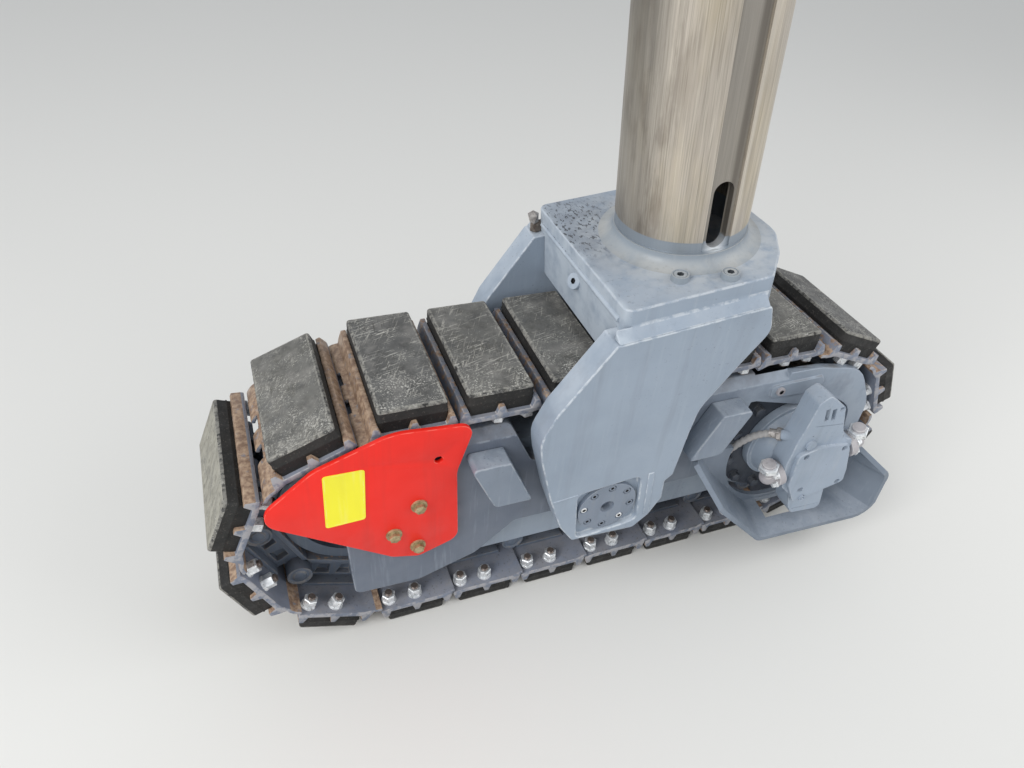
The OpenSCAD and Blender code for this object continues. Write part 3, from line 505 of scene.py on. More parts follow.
# Woven wrap round the drain hose, grey with dust.
WRAP = enamel("dusty_woven_wrap", "#a5a3a2", "#8f8d8b", "#bdbab5", "#4b4947", "#b5b2ab",
              film=0.6, speckle=0.6, edges=0.0, smooth=0.7, rough=0.9, grain_mm=2.0, grain_h=0.3)
# Printed vinyl of the blank plate on the guard.
LABEL = enamel("yellow_vinyl", "#f2e92c", "#ebe128", "#f1eb84", "#c9bf3a", "#f9f4b4",
               ("#c9bf3a", "#d8cf5a"), film=0.1, speckle=0.15, edges=0.5, smooth=0.3, rough=0.4, grain_h=0.01)


# Mesh tools. Meshes are drawn in millimetres and scaled when a piece is made of them.


def new_mesh():
    mesh = bmesh.new()
    mesh.faces.layers.float_vector.new("wear")
    return mesh


def mark_faces(mesh, faces, edge=None, rub=None, tread=None):
    """Marks faces from 0 to 1: as worn edges, as rubbed bare, which on pads is dusty, and as tread, which
    on metal is the dark of a socket."""
    layer = mesh.faces.layers.float_vector["wear"]
    for face in faces:
        old = face[layer]
        face[layer] = (old[0] if edge is None else edge, old[1] if rub is None else rub,
                       old[2] if tread is None else tread)


def bevelled(mesh, edges, width, segments):
    """Bevels edges and returns the new faces."""
    return bmesh.ops.bevel(mesh, geom=edges, offset=width, offset_type="OFFSET", affect="EDGES",
                           segments=segments, profile=0.5, material=-1, clamp_overlap=False)["faces"]


def round_edges(mesh, width, angle=30, inner=True):
    """Bevels the edges sharper than an angle, those of inner corners too if asked, and marks the new
    faces as worn."""
    edges = [e for e in mesh.edges if e.is_manifold and e.calc_face_angle() > math.radians(angle)
             and (inner or e.is_convex)]
    mark_faces(mesh, bevelled(mesh, edges, width, 2), edge=1.0)


def edges_where(mesh, test):
    """Edges whose ends both lie where a test says yes."""
    return [e for e in mesh.edges if all(test(v.co) for v in e.verts)]


def sliced(mesh, normal, distances):
    """Cuts new edges all round a mesh, in planes at distances along a normal."""
    for distance in distances:
        bmesh.ops.bisect_plane(mesh, geom=mesh.verts[:] + mesh.edges[:] + mesh.faces[:], dist=0.001,
                               plane_co=Vector(normal) * distance, plane_no=normal)


def stepped(mesh, face, ahead, steps):
    """Steps a face in rings. Each row says how far in the next ring starts and how far it goes ahead."""
    for inward, rise in steps:
        bmesh.ops.inset_region(mesh, faces=[face], thickness=inward, depth=0)
        bmesh.ops.translate(mesh, vec=Vector(ahead) * rise, verts=face.verts)


def rectangle(x0, z0, x1, z1):
    """Outline of a rectangle from one corner to the other."""
    return [(x0, z0), (x1, z0), (x1, z1), (x0, z1)]


def prism(mesh, points, depth):
    """Adds a solid: an outline of points (x, z), pushed along Y from depth[0] to depth[1]."""
    ring = [mesh.verts.new((x, depth[0], z)) for x, z in points]
    face = mesh.faces.new(ring)
    moved = bmesh.ops.extrude_face_region(mesh, geom=[face])
    ends = [v for v in moved["geom"] if isinstance(v, bmesh.types.BMVert)]
    bmesh.ops.translate(mesh, vec=(0, depth[1] - depth[0], 0), verts=ends)
    faces = set(face for v in ring + ends for face in v.link_faces)
    bmesh.ops.recalc_face_normals(mesh, faces=list(faces))


def disc(mesh, r, y0, y1, at, sides):
    """Adds a round solid along Y from y0 to y1, round a place (x, z)."""
    made = bmesh.ops.create_cone(mesh, cap_ends=True, segments=sides, radius1=r, radius2=r,
                                 depth=abs(y1 - y0))
    turn = Matrix.Rotation(math.radians(-90 if y1 > y0 else 90), 4, "X")
    spot = Matrix.Translation((at[0], (y0 + y1) / 2, at[1])) @ turn
    bmesh.ops.transform(mesh, matrix=spot, verts=made["verts"])


def stud(mesh, r, z, height, sides, r_top=None):
    """Adds a round or many-sided solid that stands along +Z from z, and may taper."""
    made = bmesh.ops.create_cone(mesh, cap_ends=True, segments=sides, radius1=r,
                                 radius2=r if r_top is None else r_top, depth=height)
    bmesh.ops.translate(mesh, vec=(0, 0, z + height / 2), verts=made["verts"])


def frozen(mesh, name):
    """Turns a mesh into data that place() can copy."""
    data = bpy.data.meshes.new(name)
    mesh.to_mesh(data)
    mesh.free()
    return data


def place(mesh, data, matrix):
    """Copies frozen data into a mesh at a place. A mirrored copy is turned the right way out."""
    verts_before, faces_before = len(mesh.verts), len(mesh.faces)
    mesh.from_mesh(data)
    mesh.verts.ensure_lookup_table()
    mesh.faces.ensure_lookup_table()
    bmesh.ops.transform(mesh, matrix=matrix, verts=mesh.verts[verts_before:])
    if matrix.determinant() < 0:
        bmesh.ops.reverse_faces(mesh, faces=mesh.faces[faces_before:])


def carved(mesh, cutter):
    """Takes one solid out of another."""
    body = add_object("body", frozen(mesh, "body"))
    tool = add_object("cutter", frozen(cutter, "cutter"))
    cut = body.modifiers.new("cut", "BOOLEAN")
    cut.operation = "DIFFERENCE"
    cut.solver = "EXACT"
    cut.use_self = True
    cut.object = tool
    shaped = body.evaluated_get(bpy.context.evaluated_depsgraph_get()).to_mesh()
    result = bmesh.new()
    result.from_mesh(shaped)
    for thing in (body, tool):
        bpy.data.objects.remove(thing)
    bmesh.ops.remove_doubles(result, verts=result.verts, dist=0.01)
    if "wear" not in result.faces.layers.float_vector:
        result.faces.layers.float_vector.new("wear")
    return result


def make_piece(name, mesh, body, material, nodes=(), smooth=38, weighted=False):
    """Makes a mesh a piece of the part: its body, its material and the nodes it stands for.
    Edges sharper than smooth, in degrees, look sharp."""
    bmesh.ops.scale(mesh, vec=(MM, MM, MM), verts=mesh.verts)
    data = frozen(mesh, name)
    for polygon in data.polygons:
        polygon.use_smooth = True
    data.set_sharp_from_angle(angle=math.radians(smooth))
    data.materials.append(material)
    piece = add_object(name, data)
    if weighted:
        even = piece.modifiers.new("even", "WEIGHTED_NORMAL")
        even.keep_sharp = True
    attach(piece, body)
    if nodes:
        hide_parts(*nodes)


def rope(name, spots, r, swells, resolution, body, material):
    """Makes a round piece along spots in metres. Its radius at each spot is r times the spot's swell."""
    curve = bpy.data.curves.new(name, "CURVE")
    curve.dimensions = "3D"
    curve.bevel_depth = r
    curve.bevel_resolution = resolution
    curve.use_fill_caps = True
    line = curve.splines.new("POLY")
    line.points.add(len(spots) - 1)
    for point, spot, swell in zip(line.points, spots, swells):
        point.co = (*spot, 1.0)
        point.radius = swell
    curve.materials.append(material)
    piece = add_object(name, curve)
    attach(piece, body)
    return piece


def softened(node, body, material, width, join=0.01, angle=30, inner=True, cut=None):
    """Stands for a CAD node with the same form, its edges rounded as round_edges says. Corners nearer
    than join, in millimetres, become one, so that the rounding has room. Cut is taken out of it."""
    mesh = bmesh.new()
    mesh.from_mesh(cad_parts[node].data)
    for layer in list(mesh.loops.layers.uv):
        mesh.loops.layers.uv.remove(layer)
    mesh.faces.layers.float_vector.new("wear")
    bmesh.ops.scale(mesh, vec=(1 / MM, 1 / MM, 1 / MM), verts=mesh.verts)
    bmesh.ops.remove_doubles(mesh, verts=mesh.verts, dist=0.01)
    bmesh.ops.dissolve_limit(mesh, angle_limit=math.radians(1), verts=mesh.verts, edges=mesh.edges)
    bmesh.ops.remove_doubles(mesh, verts=mesh.verts, dist=join)
    round_edges(mesh, width, angle, inner)
    if cut is not None:
        mesh = carved(mesh, cut)
    make_piece(node + "_rounded", mesh, body, material, (node,), weighted=True)


# Places


def pin(i):
    """Place of a chain pin in X and Z, from the idler's foot round by the drive."""
    i %= LINK_COUNT
    if i <= FLAT_LINKS:
        return Vector((i * PITCH - HALF_RUN, PIN_LOW))
    if i < FLAT_LINKS + END_LINKS:
        a = math.radians((i - FLAT_LINKS) * 180 / END_LINKS - 90)
        return Vector((HALF_RUN + END_R * math.cos(a), CENTRE_Z + END_R * math.sin(a)))
    if i <= 2 * FLAT_LINKS + END_LINKS:
        return Vector((HALF_RUN - (i - FLAT_LINKS - END_LINKS) * PITCH, CENTRE_Z + END_R))
    a = math.radians(90 + (i - 2 * FLAT_LINKS - END_LINKS) * 180 / END_LINKS)
    return Vector((END_R * math.cos(a) - HALF_RUN, CENTRE_Z + END_R * math.sin(a)))


def at_link(i):
    """Turns link coordinates, X along the chain and Z inwards from the pins' line, into the part's."""
    p, q = pin(i), pin(i + 1)
    d = (q - p).normalized()
    m = (p + q) / 2
    return Matrix(((d.x, 0, -d.y, m.x), (0, 1, 0, 0), (d.y, 0, d.x, m.y), (0, 0, 0, 1)))


IN_FORK = Matrix.Translation(PIVOT) @ Matrix.Rotation(math.radians(-LEAN), 4, "Y")
AT_MOTOR = Matrix.Translation(DRIVE) @ Matrix.Rotation(math.radians(-MOTOR_TURN), 4, "Y")


def towards(at, direction, turn=0.0):
    """Matrix that stands a unit, drawn along +Z, at a place so that it points in a direction."""
    return (Matrix.Translation(at) @ Vector(direction).to_track_quat("Z", "Y").to_matrix().to_4x4()
            @ Matrix.Rotation(math.radians(turn), 4, "Z"))


# Screws, nuts and plugs, each drawn once along +Z from 0


def nut_unit(across, height, washer_r=0, end_r=0, end_h=0):
    """A hexagon of a size across its flats, on a washer if asked. A nut has the bolt's threaded end
    standing out of it, a bolt's head a low round cap."""
    mesh = new_mesh()
    foot = 0
    if washer_r:
        stud(mesh, washer_r, 0, WASHER_T, 20, washer_r - 0.6)
        foot = WASHER_T
    stud(mesh, across / math.sqrt(3), foot, height, 6)
    top = foot + height
    bevelled(mesh, edges_where(mesh, lambda co: co.z > top - 0.1), 1.3, 1)
    if end_h:
        nut_faces = set(mesh.faces)
        crests = 3
        flank = end_h / crests / 2
        for k in range(crests):
            stud(mesh, end_r - 0.8, top + 2 * k * flank, flank, 12, end_r)
            stud(mesh, end_r, top + (2 * k + 1) * flank, flank, 12, end_r - 0.8)
        mark_faces(mesh, [f for f in mesh.faces if f not in nut_faces], rub=1.0)
    else:
        cap = max(mesh.faces, key=lambda f: f.calc_center_median().z)
        stepped(mesh, cap, (0, 0, 1), ((across * 0.2, 0.6),))
    return frozen(mesh, "nut")


def with_socket(mesh, r, foot, top, shade):
    """Cuts a hexagonal socket into a head, from its top down to the socket's foot, and darkens it."""
    cutter = new_mesh()
    stud(cutter, r, foot, 2 * (top - foot), 6)
    mesh = carved(mesh, cutter)
    for face in mesh.faces:
        centre = face.calc_center_median()
        if centre.to_2d().length < r and centre.z < top - 0.1:
            mark_faces(mesh, [face], tread=shade)
    return mesh


def socket_unit(r, height, socket_r):
    """A socket screw's head."""
    mesh = new_mesh()
    stud(mesh, r, 0, height, 18)
    mesh = with_socket(mesh, socket_r, height / 2, height, 1.0)
    bevelled(mesh, edges_where(mesh, lambda co: co.z > height - 0.1 and co.to_2d().length > r - 0.2), 0.8, 1)
    return frozen(mesh, "socket")


def plug_unit():
    """A painted plug: a low round boss with a groove round its rim and a hexagonal socket."""
    mesh = new_mesh()
    stud(mesh, 14.5, 0, 10, 28, 13.5)
    cap = max(mesh.faces, key=lambda f: f.calc_center_median().z)
    stepped(mesh, cap, (0, 0, 1), ((1.8, 0.0), (0.5, -1.6), (1.2, 0.0), (0.5, 1.2)))
    return frozen(with_socket(mesh, 5.8, 4, 9.6, 0.8), "plug")


# The track


def shoe_plate(bend):
    """A rolled shoe plate with three grousers. Its lip goes round the next pin as far as the chain bends
    there, in degrees, and a little more."""
    half, steps = PITCH / 2, 6
    arc = [math.radians(-90 + (bend + LIP_MORE) * k / steps) for k in range(steps + 1)]
    outer = [(half + LIP_R * math.cos(a), LIP_R * math.sin(a)) for a in arc]
    inner = [(half + (LIP_R - LIP_T) * math.cos(a), (LIP_R - LIP_T) * math.sin(a)) for a in reversed(arc)]
    outline = [(-half + 2, -PLATE_IN - 4), (-half + 2, -PLATE_OUT)]
    for x in (-GROUSER_X, 0, GROUSER_X):
        grouser = [(x - 9, -PLATE_OUT), (x - 4, -PLATE_OUT - GROUSER_H),
                   (x + 4, -PLATE_OUT - GROUSER_H), (x + 9, -PLATE_OUT)]
        outline += grouser[1:] if x < 0 else grouser
    outline += outer + inner + [(52, -PLATE_IN), (-48, -PLATE_IN)]
    mesh = new_mesh()
    prism(mesh, outline, (-PLATE_HALF_W, PLATE_HALF_W))
    if bend > SHARP_BEND:
        # Here the lip is notched for the ends of the link plates.
        cutter = new_mesh()
        for side in (-1, 1):
            y = side * (LINK_IN + LINK_OUT) / 2
            prism(cutter, rectangle(80, -40, 110, 0), (y - 16, y + 16))
        mesh = carved(mesh, cutter)
    round_edges(mesh, 1.2, 50)
    return mesh


def make_shoes():
    """The shoe plates, rusty where they rub: those at the idler all over, those at its foot inside too."""
    # The lip's inner side is bare past lip_end, its outer side past lip_start. The next plate's lip
    # rubs the inner side up to overlap.
    lip_end, lip_start, overlap = PITCH / 2 + 2, PITCH / 2 - 6, -46
    plates = {}
    track = new_mesh()
    for i in range(LINK_COUNT):
        bend = round(math.degrees((pin(i + 1) - pin(i)).angle(pin(i + 2) - pin(i + 1))), 1)
        rib_rub = 0.8 if i in FOOT_LINKS else 1.0 if i in RUSTY_LINKS else 0.55
        lip_rub = 1.0 if bend > SHARP_BEND or i == LINK_COUNT - 1 else 0.25
        inner_rub = 0.6 if i in FOOT_LINKS else 0.0
        if bend not in plates:
            plates[bend] = shoe_plate(bend)
        part = plates[bend].copy()
        for face in part.faces:
            c = face.calc_center_median()
            outward = face.normal.x * (c.x - PITCH / 2) + face.normal.z * c.z
            if abs(face.normal.y) > 0.7:
                mark_faces(part, [face], edge=0.7)
            elif c.z < -PLATE_OUT - 1:
                mark_faces(part, [face], rub=rib_rub)
            elif c.x > lip_end or c.x > lip_start and outward > 0:
                mark_faces(part, [face], rub=lip_rub)
            elif c.x < overlap and c.z > -PLATE_IN - 1.5:
                mark_faces(part, [face], rub=inner_rub)
        place(track, frozen(part, "shoe"), at_link(i))
    make_piece("shoe_plates", track, "track_unit", SHOE, ("track_shoes",))


def make_pads():
    """Polyurethane pads clamped between the grousers: worn round at the edges, with a parting line.
    Those that hang at the idler's side are pale with dust."""
    rng = random.Random(7)
    tread_z = -PLATE_OUT - PAD_T
    seam_z = -PLATE_OUT - PAD_T / 2
    track = new_mesh()
    for i in range(LINK_COUNT):
        dust = 0.9 if i in IDLER_LINKS else rng.uniform(0.0, 0.25)
        mesh = new_mesh()
        bmesh.ops.create_cube(mesh, size=1.0)
        bmesh.ops.scale(mesh, vec=(2 * PAD_HALF_L, 2 * PAD_HALF_W, PAD_T), verts=mesh.verts)
        bmesh.ops.translate(mesh, vec=(0, 0, seam_z), verts=mesh.verts)
        upright = [e for e in mesh.edges if abs(e.verts[0].co.z - e.verts[1].co.z) > 1]
        bevelled(mesh, upright, 5, 3)
        worn = bevelled(mesh, edges_where(mesh, lambda co: co.z < tread_z + 1), 5.5, 3)
        mark_faces(mesh, worn, edge=0.6, tread=0.6)
        # The mould's parting line: a thin raised rib round the sides.
        sliced(mesh, (0, 0, 1), (seam_z + 2, seam_z + 0.4, seam_z - 0.4, seam_z - 2))
        for v in mesh.verts:
            if abs(v.co.z - seam_z) < 0.5:
                v.co.x *= 1 + 1.0 / PAD_HALF_L
                v.co.y *= 1 + 1.0 / PAD_HALF_W
        # A net of edges, so that the tread can wear unevenly.
        sliced(mesh, (0, 1, 0), [PAD_HALF_W * (k / 6 - 1) for k in range(1, 12)])
        sliced(mesh, (1, 0, 0), [PAD_HALF_L * (k / 3 - 1) for k in range(1, 6)])
        bmesh.ops.recalc_face_normals(mesh, faces=mesh.faces)
        mark_faces(mesh, [f for f in mesh.faces if f.normal.z < -0.9], rub=dust, tread=1.0)
        slope = rng.uniform(-0.012, 0.012)
        for v in mesh.verts:
            if v.co.z < tread_z + 0.5:
                v.co.z += abs(v.co.x * slope) + rng.uniform(0.0, 0.9)
        place(track, frozen(mesh, "pad"), at_link(i))
    make_piece("tread_pads", track, "track_unit", POLYURETHANE, ("shoe_pads",), smooth=42)


def make_links():
    """Forged links: a body with two windows, a rail along its inner side, a foot on the shoe, a boss with
    the pin's end in it, and the bushings between the rows."""
    half = PITCH / 2
    waist = half - 19.2
    eye_r, boss_r = 23.2, 22.5
    outline = [(-waist, -PLATE_IN), (waist, -PLATE_IN), (waist, -16)]
    for k in range(8):
        a = math.radians(-130 + 130 * k / 4.6)
        outline.append((half + eye_r * math.cos(a), eye_r * math.sin(a)))
    outline += [(-x, z) for x, z in reversed(outline[2:])]
    mesh = new_mesh()
    prism(mesh, outline, (LINK_IN, LINK_OUT))
    cutter = new_mesh()
    for x in (-20, 22):
        window = [(x - 14, -22), (x + 14, -22), (x + 10, 2), (x - 10, 2)]
        prism(cutter, window, (LINK_OUT - 12, LINK_OUT + 5))
    mesh = carved(mesh, cutter)
    round_edges(mesh, 1.5, 40)
    rail = new_mesh()
    prism(rail, rectangle(-half + 2, 15, half - 2, LINK_HALF_H), (LINK_IN - 2, LINK_OUT + 8))
    round_edges(rail, 1.5, 40)
    mark_faces(rail, [f for f in rail.faces if f.normal.z > 0.5], rub=0.45)
    foot = new_mesh()
    prism(foot, [(-58, -PLATE_IN), (48, -PLATE_IN), (44, -27), (-54, -27)], (LINK_IN, LINK_OUT + 20))
    round_edges(foot, 1.5, 40)
    boss = new_mesh()
    disc(boss, boss_r, LINK_OUT - 4, BOSS_OUT, (-half, 0), 28)
    cap = max(boss.faces, key=lambda f: f.calc_center_median().y)
    stepped(boss, cap, (0, 1, 0), ((3.5, 0), (0.8, -2.5), (6.5, 0), (0.8, 2.0)))
    round_edges(boss, 1.4, 60)
    for part in (rail, foot, boss):
        mesh.from_mesh(frozen(part, "part"))
    side = frozen(mesh, "link")
    bushing = new_mesh()
    disc(bushing, BUSHING_R, -LINK_IN - 1, LINK_IN + 1, (-half, 0), 20)
    bushing = frozen(bushing, "bushing")
    track = new_mesh()
    for i in range(LINK_COUNT):
        place(track, side, at_link(i))
        place(track, side, at_link(i) @ Matrix.Scale(-1, 4, (0, 1, 0)))
        place(track, bushing, at_link(i))
    make_piece("forged_links", track, "track_unit", LINK, ("chain_links",))


def make_shoe_nuts():
    """Two nuts in a row at each end of each shoe."""
    rng = random.Random(11)
    nut = nut_unit(22, 16, washer_r=14, end_r=7, end_h=5)
    mesh = new_mesh()
    for i in range(LINK_COUNT):
        for x in NUTS_X:
            for y in (-NUT_Y, NUT_Y):
                spot = Matrix.Translation((x, y, -PLATE_IN)) @ Matrix.Rotation(rng.uniform(0, 6.28), 4, "Z")
                place(mesh, nut, at_link(i) @ spot)
    make_piece("shoe_nuts", mesh, "track_unit", ZINC)


# The guard over the idler


def make_idler_guard():
    """The red plate over the idler, cut from sheet, each corner with its own radius."""
    corners = [(-258, 500, 20), (-388, 512, 90), (-508, 466, 60), (-604, 385, 33), (-396, 226, 16),
               (-350, 212, 20), (-280, 238, 24), (-286, 405, 60)]
    mesh = new_mesh()
    prism(mesh, [(x, z) for x, z, r in corners], (GUARD_Y, GUARD_Y - GUARD_T))
    for k, (x, z, r) in enumerate(corners):
        before, after = corners[k - 1], corners[(k + 1) % len(corners)]
        a, b = Vector((before[0] - x, before[1] - z)), Vector((after[0] - x, after[1] - z))
        upright = edges_where(mesh, lambda co: abs(co.x - x) + abs(co.z - z) < 0.1)
        bevelled(mesh, upright, r / math.tan(a.angle(b) / 2), 8)
    hole = new_mesh()
    disc(hole, 7, GUARD_Y + 2, GUARD_Y - GUARD_T - 2, (-317, 440), 20)
    mesh = carved(mesh, hole)
    round_edges(mesh, 1.0, 60)
    make_piece("red_guard", mesh, "track_unit", RED, ("idler_guard",), smooth=30)


def make_guard_fittings():
    """The guard's three bolts, and the blank label with its pressed rim."""
    face_y = GUARD_Y - GUARD_T
    bolt = nut_unit(17, 9, washer_r=14)
    mesh = new_mesh()
    for x, z, turn in ((-392, 285, 10), (-349, 343, 34), (-352, 242, 50)):
        place(mesh, bolt, towards((x, face_y, z), (0, -1, 0), turn))
    make_piece("guard_bolts", mesh, "track_unit", YELLOW_ZINC)
    label = new_mesh()
    prism(label, [(-499, 339), (-436, 341), (-432, 453), (-495, 455)], (face_y - 0.5, face_y + 0.2))
    upright = [e for e in label.edges if abs(e.verts[0].co.y - e.verts[1].co.y) > 0.3]
    bevelled(label, upright, 5, 4)
    face = min(label.faces, key=lambda f: f.calc_center_median().y)
    bmesh.ops.inset_region(label, faces=[face], thickness=2.2, depth=0)
    made = bmesh.ops.inset_region(label, faces=[face], thickness=0.9, depth=-0.15)
    mark_faces(label, made["faces"], edge=1.0)
    make_piece("blank_label", label, "track_unit", LABEL)


# The fork


def pin_screw_at(k, y):
    """Place of one of the screws in a pendulum pin's ring."""
    a = math.radians(360 / PIN_SCREWS * k + PIN_SCREWS_TURN)
    return (PIN_SCREWS_R * math.cos(a), y, -PIN_SCREWS_R * math.sin(a))


def pin_cuts(side):
    """The counterbores of a pendulum pin's screws, and the wide hole in its middle."""
    mesh = new_mesh()
    face = side * PIN_FACE
    for k in range(PIN_SCREWS):
        x, y, z = pin_screw_at(k, face)
        disc(mesh, 8, y - side * SCREW_SEAT, y + side * 2, (x, z), 20)
    disc(mesh, 13.5, face - side * 14, face + side * 2, (0, 0), 28)
    bmesh.ops.transform(mesh, matrix=IN_FORK, verts=mesh.verts)
    return mesh


def make_pin_screws():
    """Socket screws in the counterbores of the pendulum pins. Two of them are newer than the rest."""
    screw = socket_unit(6.2, 3.4, 3.4)
    ages = ((PIN, "pin_paint", "old", (0, 2, 3, 5, 6, 7)), (ZINC, "zinc", "new", (1, 4)))
    for side, name in ((-1, "near"), (1, "far")):
        softened("pivot_pin_" + name, "leg", PIN, 0.8, angle=50, cut=pin_cuts(side))
        for tone, slot, age, seats in ages:
            mesh = new_mesh()
            for k in seats:
                at = pin_screw_at(k, side * (PIN_FACE - SCREW_SEAT))
                place(mesh, screw, IN_FORK @ towards(at, (0, side, 0), k * 31))
            make_piece("pivot_screws_" + name + "_" + age, mesh, "leg", tone)


def weld_bead(name, start, end, r, material, ripple=7.0, dip=0.84):
    """A weld bead on the fork, in millimetres: a rippled half-buried rope of paint-covered steel."""
    a, b = Vector(start), Vector(end)
    count = max(2, round((b - a).length / (ripple / 2)))
    spots = [IN_FORK @ a.lerp(b, k / count) * MM for k in range(count + 1)]
    rng = random.Random(len(spots))
    swells = [(1.0 if k % 2 else dip) * rng.uniform(0.94, 1.06) for k in range(len(spots))]
    rope(name, spots, r * MM, swells, 2, "leg", material)


def crown_cuts():
    """The tapped hole in the crown's left wall, and a small dent in its top."""
    mesh = new_mesh()
    hole = Matrix.Translation((CROWN_LEFT, 5, 365)) @ Matrix.Rotation(math.radians(90), 4, "Y")
    bmesh.ops.create_cone(mesh, cap_ends=True, segments=20, radius1=9.0, radius2=9.0, depth=32,
                          matrix=IN_FORK @ hole)
    bmesh.ops.create_cone(mesh, cap_ends=True, segments=12, radius1=1.0, radius2=4.2, depth=5,
                          matrix=IN_FORK @ Matrix.Translation((27.6, -152, CROWN_TOP)))
    return mesh


def make_collar():
    """The collar that joins the column to the crown: a hollow fillet, wide at the foot."""
    mesh = new_mesh()
    steps = 8
    width = COLLAR_R - COLUMN_R - 1.5
    arc = [math.radians(90 * k / steps) for k in range(steps + 1)]
    profile = [(COLLAR_R - width * math.sin(t), CROWN_TOP + COLLAR_H * (1 - math.cos(t))) for t in arc]
    profile += [(COLUMN_R - 1, CROWN_TOP + COLLAR_H), (COLUMN_R - 1, CROWN_TOP - 1)]
    profile += [(COLLAR_R, CROWN_TOP - 1)]
    verts = [mesh.verts.new((COLUMN_X + r, 0, z)) for r, z in profile]
    edges = [mesh.edges.new((verts[k - 1], verts[k])) for k in range(len(verts))]
    bmesh.ops.spin(mesh, geom=verts + edges, cent=(COLUMN_X, 0, 0), axis=(0, 0, 1), dvec=(0, 0, 0),
                   angle=2 * math.pi, space=Matrix.Identity(4), steps=72, use_merge=True,
                   use_normal_flip=False, use_duplicate=False)
    bmesh.ops.remove_doubles(mesh, verts=mesh.verts, dist=0.01)
    bmesh.ops.recalc_face_normals(mesh, faces=mesh.faces)
    bmesh.ops.transform(mesh, matrix=IN_FORK, verts=mesh.verts)
    make_piece("collar_fillet", mesh, "leg", COLLAR, ("collar",), smooth=50)


def make_fork_details():
    """What is welded, screwed and chipped on the fork."""
    plug = plug_unit()
    mesh = new_mesh()
    for x, y, turn in ((120.6, -125.1, 15), (193.1, -148.3, 40)):
        place(mesh, plug, IN_FORK @ towards((x, y, CROWN_TOP), (0, 0, 1), turn))
    make_piece("crown_plugs", mesh, "leg", COLLAR, smooth=30)
    weld_bead("wall_weld", (10, -150, 390.5), (10, 150, 390.5), 5.5, CROWN, 16, 0.94)
    mesh = new_mesh()
    place(mesh, socket_unit(14, 9, 5.5), IN_FORK @ towards((CROWN_LEFT + 2, 4, 362), (-1, -0.25, 0.5)))
    make_piece("wall_tap", mesh, "leg", CROWN)
    rng = random.Random(3)
    for name, at, r, tone in (("rust", (0, 162, 383), 15, STEEL), ("bare", (-3, 163, 400), 14, FITTING)):
        burr = new_mesh()
        bmesh.ops.create_icosphere(burr, subdivisions=1, radius=r)
        for v in burr.verts:
            v.co = Vector((v.co.x * 0.8, v.co.y * 0.9, v.co.z * 1.1)) * rng.uniform(0.66, 1.14)
        bmesh.ops.transform(burr, matrix=IN_FORK @ Matrix.Translation(at), verts=burr.verts)
        make_piece("corner_burr_" + name, burr, "leg", tone, smooth=20)
    for side, name in ((-1, "near"), (1, "far")):
        strip = new_mesh()
        prism(strip, rectangle(74, -52, 86, 62), (side * (ARM_OUT - 2), side * (ARM_OUT + 1.6)))
        round_edges(strip, 1.5, 50)
        bmesh.ops.transform(strip, matrix=IN_FORK, verts=strip.verts)
        make_piece("arm_strip_" + name, strip, "leg", GREY)
        y = side * (ARM_OUT - 1.5)
        weld_bead("arm_seam_" + name, (-108, y, 62), (-61, y, 62), 3, GREY)


# The drive


def make_drive_details():
    """Bolts of the final drive, and screws and plugs of the motor's block and cover."""
    head = nut_unit(19, 10, washer_r=13)
    mesh = new_mesh()
    for k in range(DRIVE_BOLTS):
        a = math.radians(360 / DRIVE_BOLTS * k + 15)
        at = (DRIVE[0] + DRIVE_BOLTS_R * math.cos(a), DRIVE_BOLTS_Y, CENTRE_Z + DRIVE_BOLTS_R * math.sin(a))
        place(mesh, head, towards(at, (0, -1, 0), 17 * k))
    make_piece("drive_bolts", mesh, "track_unit", DARK)
    screw = socket_unit(5.6, 3, 3.2)
    mesh = new_mesh()
    for x, z in COVER_SCREWS:
        place(mesh, screw, AT_MOTOR @ towards((x, -MOTOR_OUT + COVER_SEAT, z), (0, -1, 0), x))
    make_piece("motor_screws", mesh, "track_unit", CAST)
    mesh = new_mesh()
    place(mesh, socket_unit(9, 6, 5), towards((342.9, -134, 422.9), (0, -1, 0)))
    make_piece("bridge_screw", mesh, "track_unit", PORT)
    block, cover = -MOTOR_OUT + COVER_T, -MOTOR_OUT
    plugs = new_mesh()
    disc(plugs, 11, block + 2, block - 5, (-17, 79), 24)
    disc(plugs, 7.5, cover + 2, cover - 3.5, (-20, -72), 20)
    for x, r in ((-17, 11), (-20, 7.5)):
        cap = min((f for f in plugs.faces if abs(f.calc_center_median().x - x) < 1),
                  key=lambda f: f.calc_center_median().y)
        stepped(plugs, cap, (0, 1, 0), ((r * 0.28, 0.0), (0.5, 1.8), (r * 0.3, 0.0), (0.4, -1.4)))
    bmesh.ops.transform(plugs, matrix=AT_MOTOR, verts=plugs.verts)
    make_piece("motor_plugs", plugs, "track_unit", CAST, smooth=30)


def block_cuts():
    """Counterbores and pockets of the valve block, the slanting top of its cover, and the lines
    between its cast steps."""
    mesh = new_mesh()
    block, cover = -MOTOR_OUT + COVER_T, -MOTOR_OUT
    for x, z in COVER_SCREWS:
        disc(mesh, 6.4, cover - 2, cover + COVER_SEAT, (x, z), 20)
    for x, z, w, h, deep in ((8, 148, 9, 30, 18), (23, 142, 9, 28, 14), (40.5, 148, 10, 10, 5)):
        prism(mesh, rectangle(x - w / 2, z - h / 2, x + w / 2, z + h / 2), (block - 2, block + deep))
    prism(mesh, [(-50, 86.1), (70, 40.3), (70, 100), (-50, 100)], (cover - 3, block))
    half = 0.9
    for x0, z0, x1, z1 in ((-14, 127, 50, 103), (-16, 101, 56, 76), (-30, -115, 40, -136)):
        line = [(x0, z0 - half), (x1, z1 - half), (x1, z1 + half), (x0, z0 + half)]
        prism(mesh, line, (block - 2, block + 1.6))
    bmesh.ops.transform(mesh, matrix=AT_MOTOR, verts=mesh.verts)
    return mesh


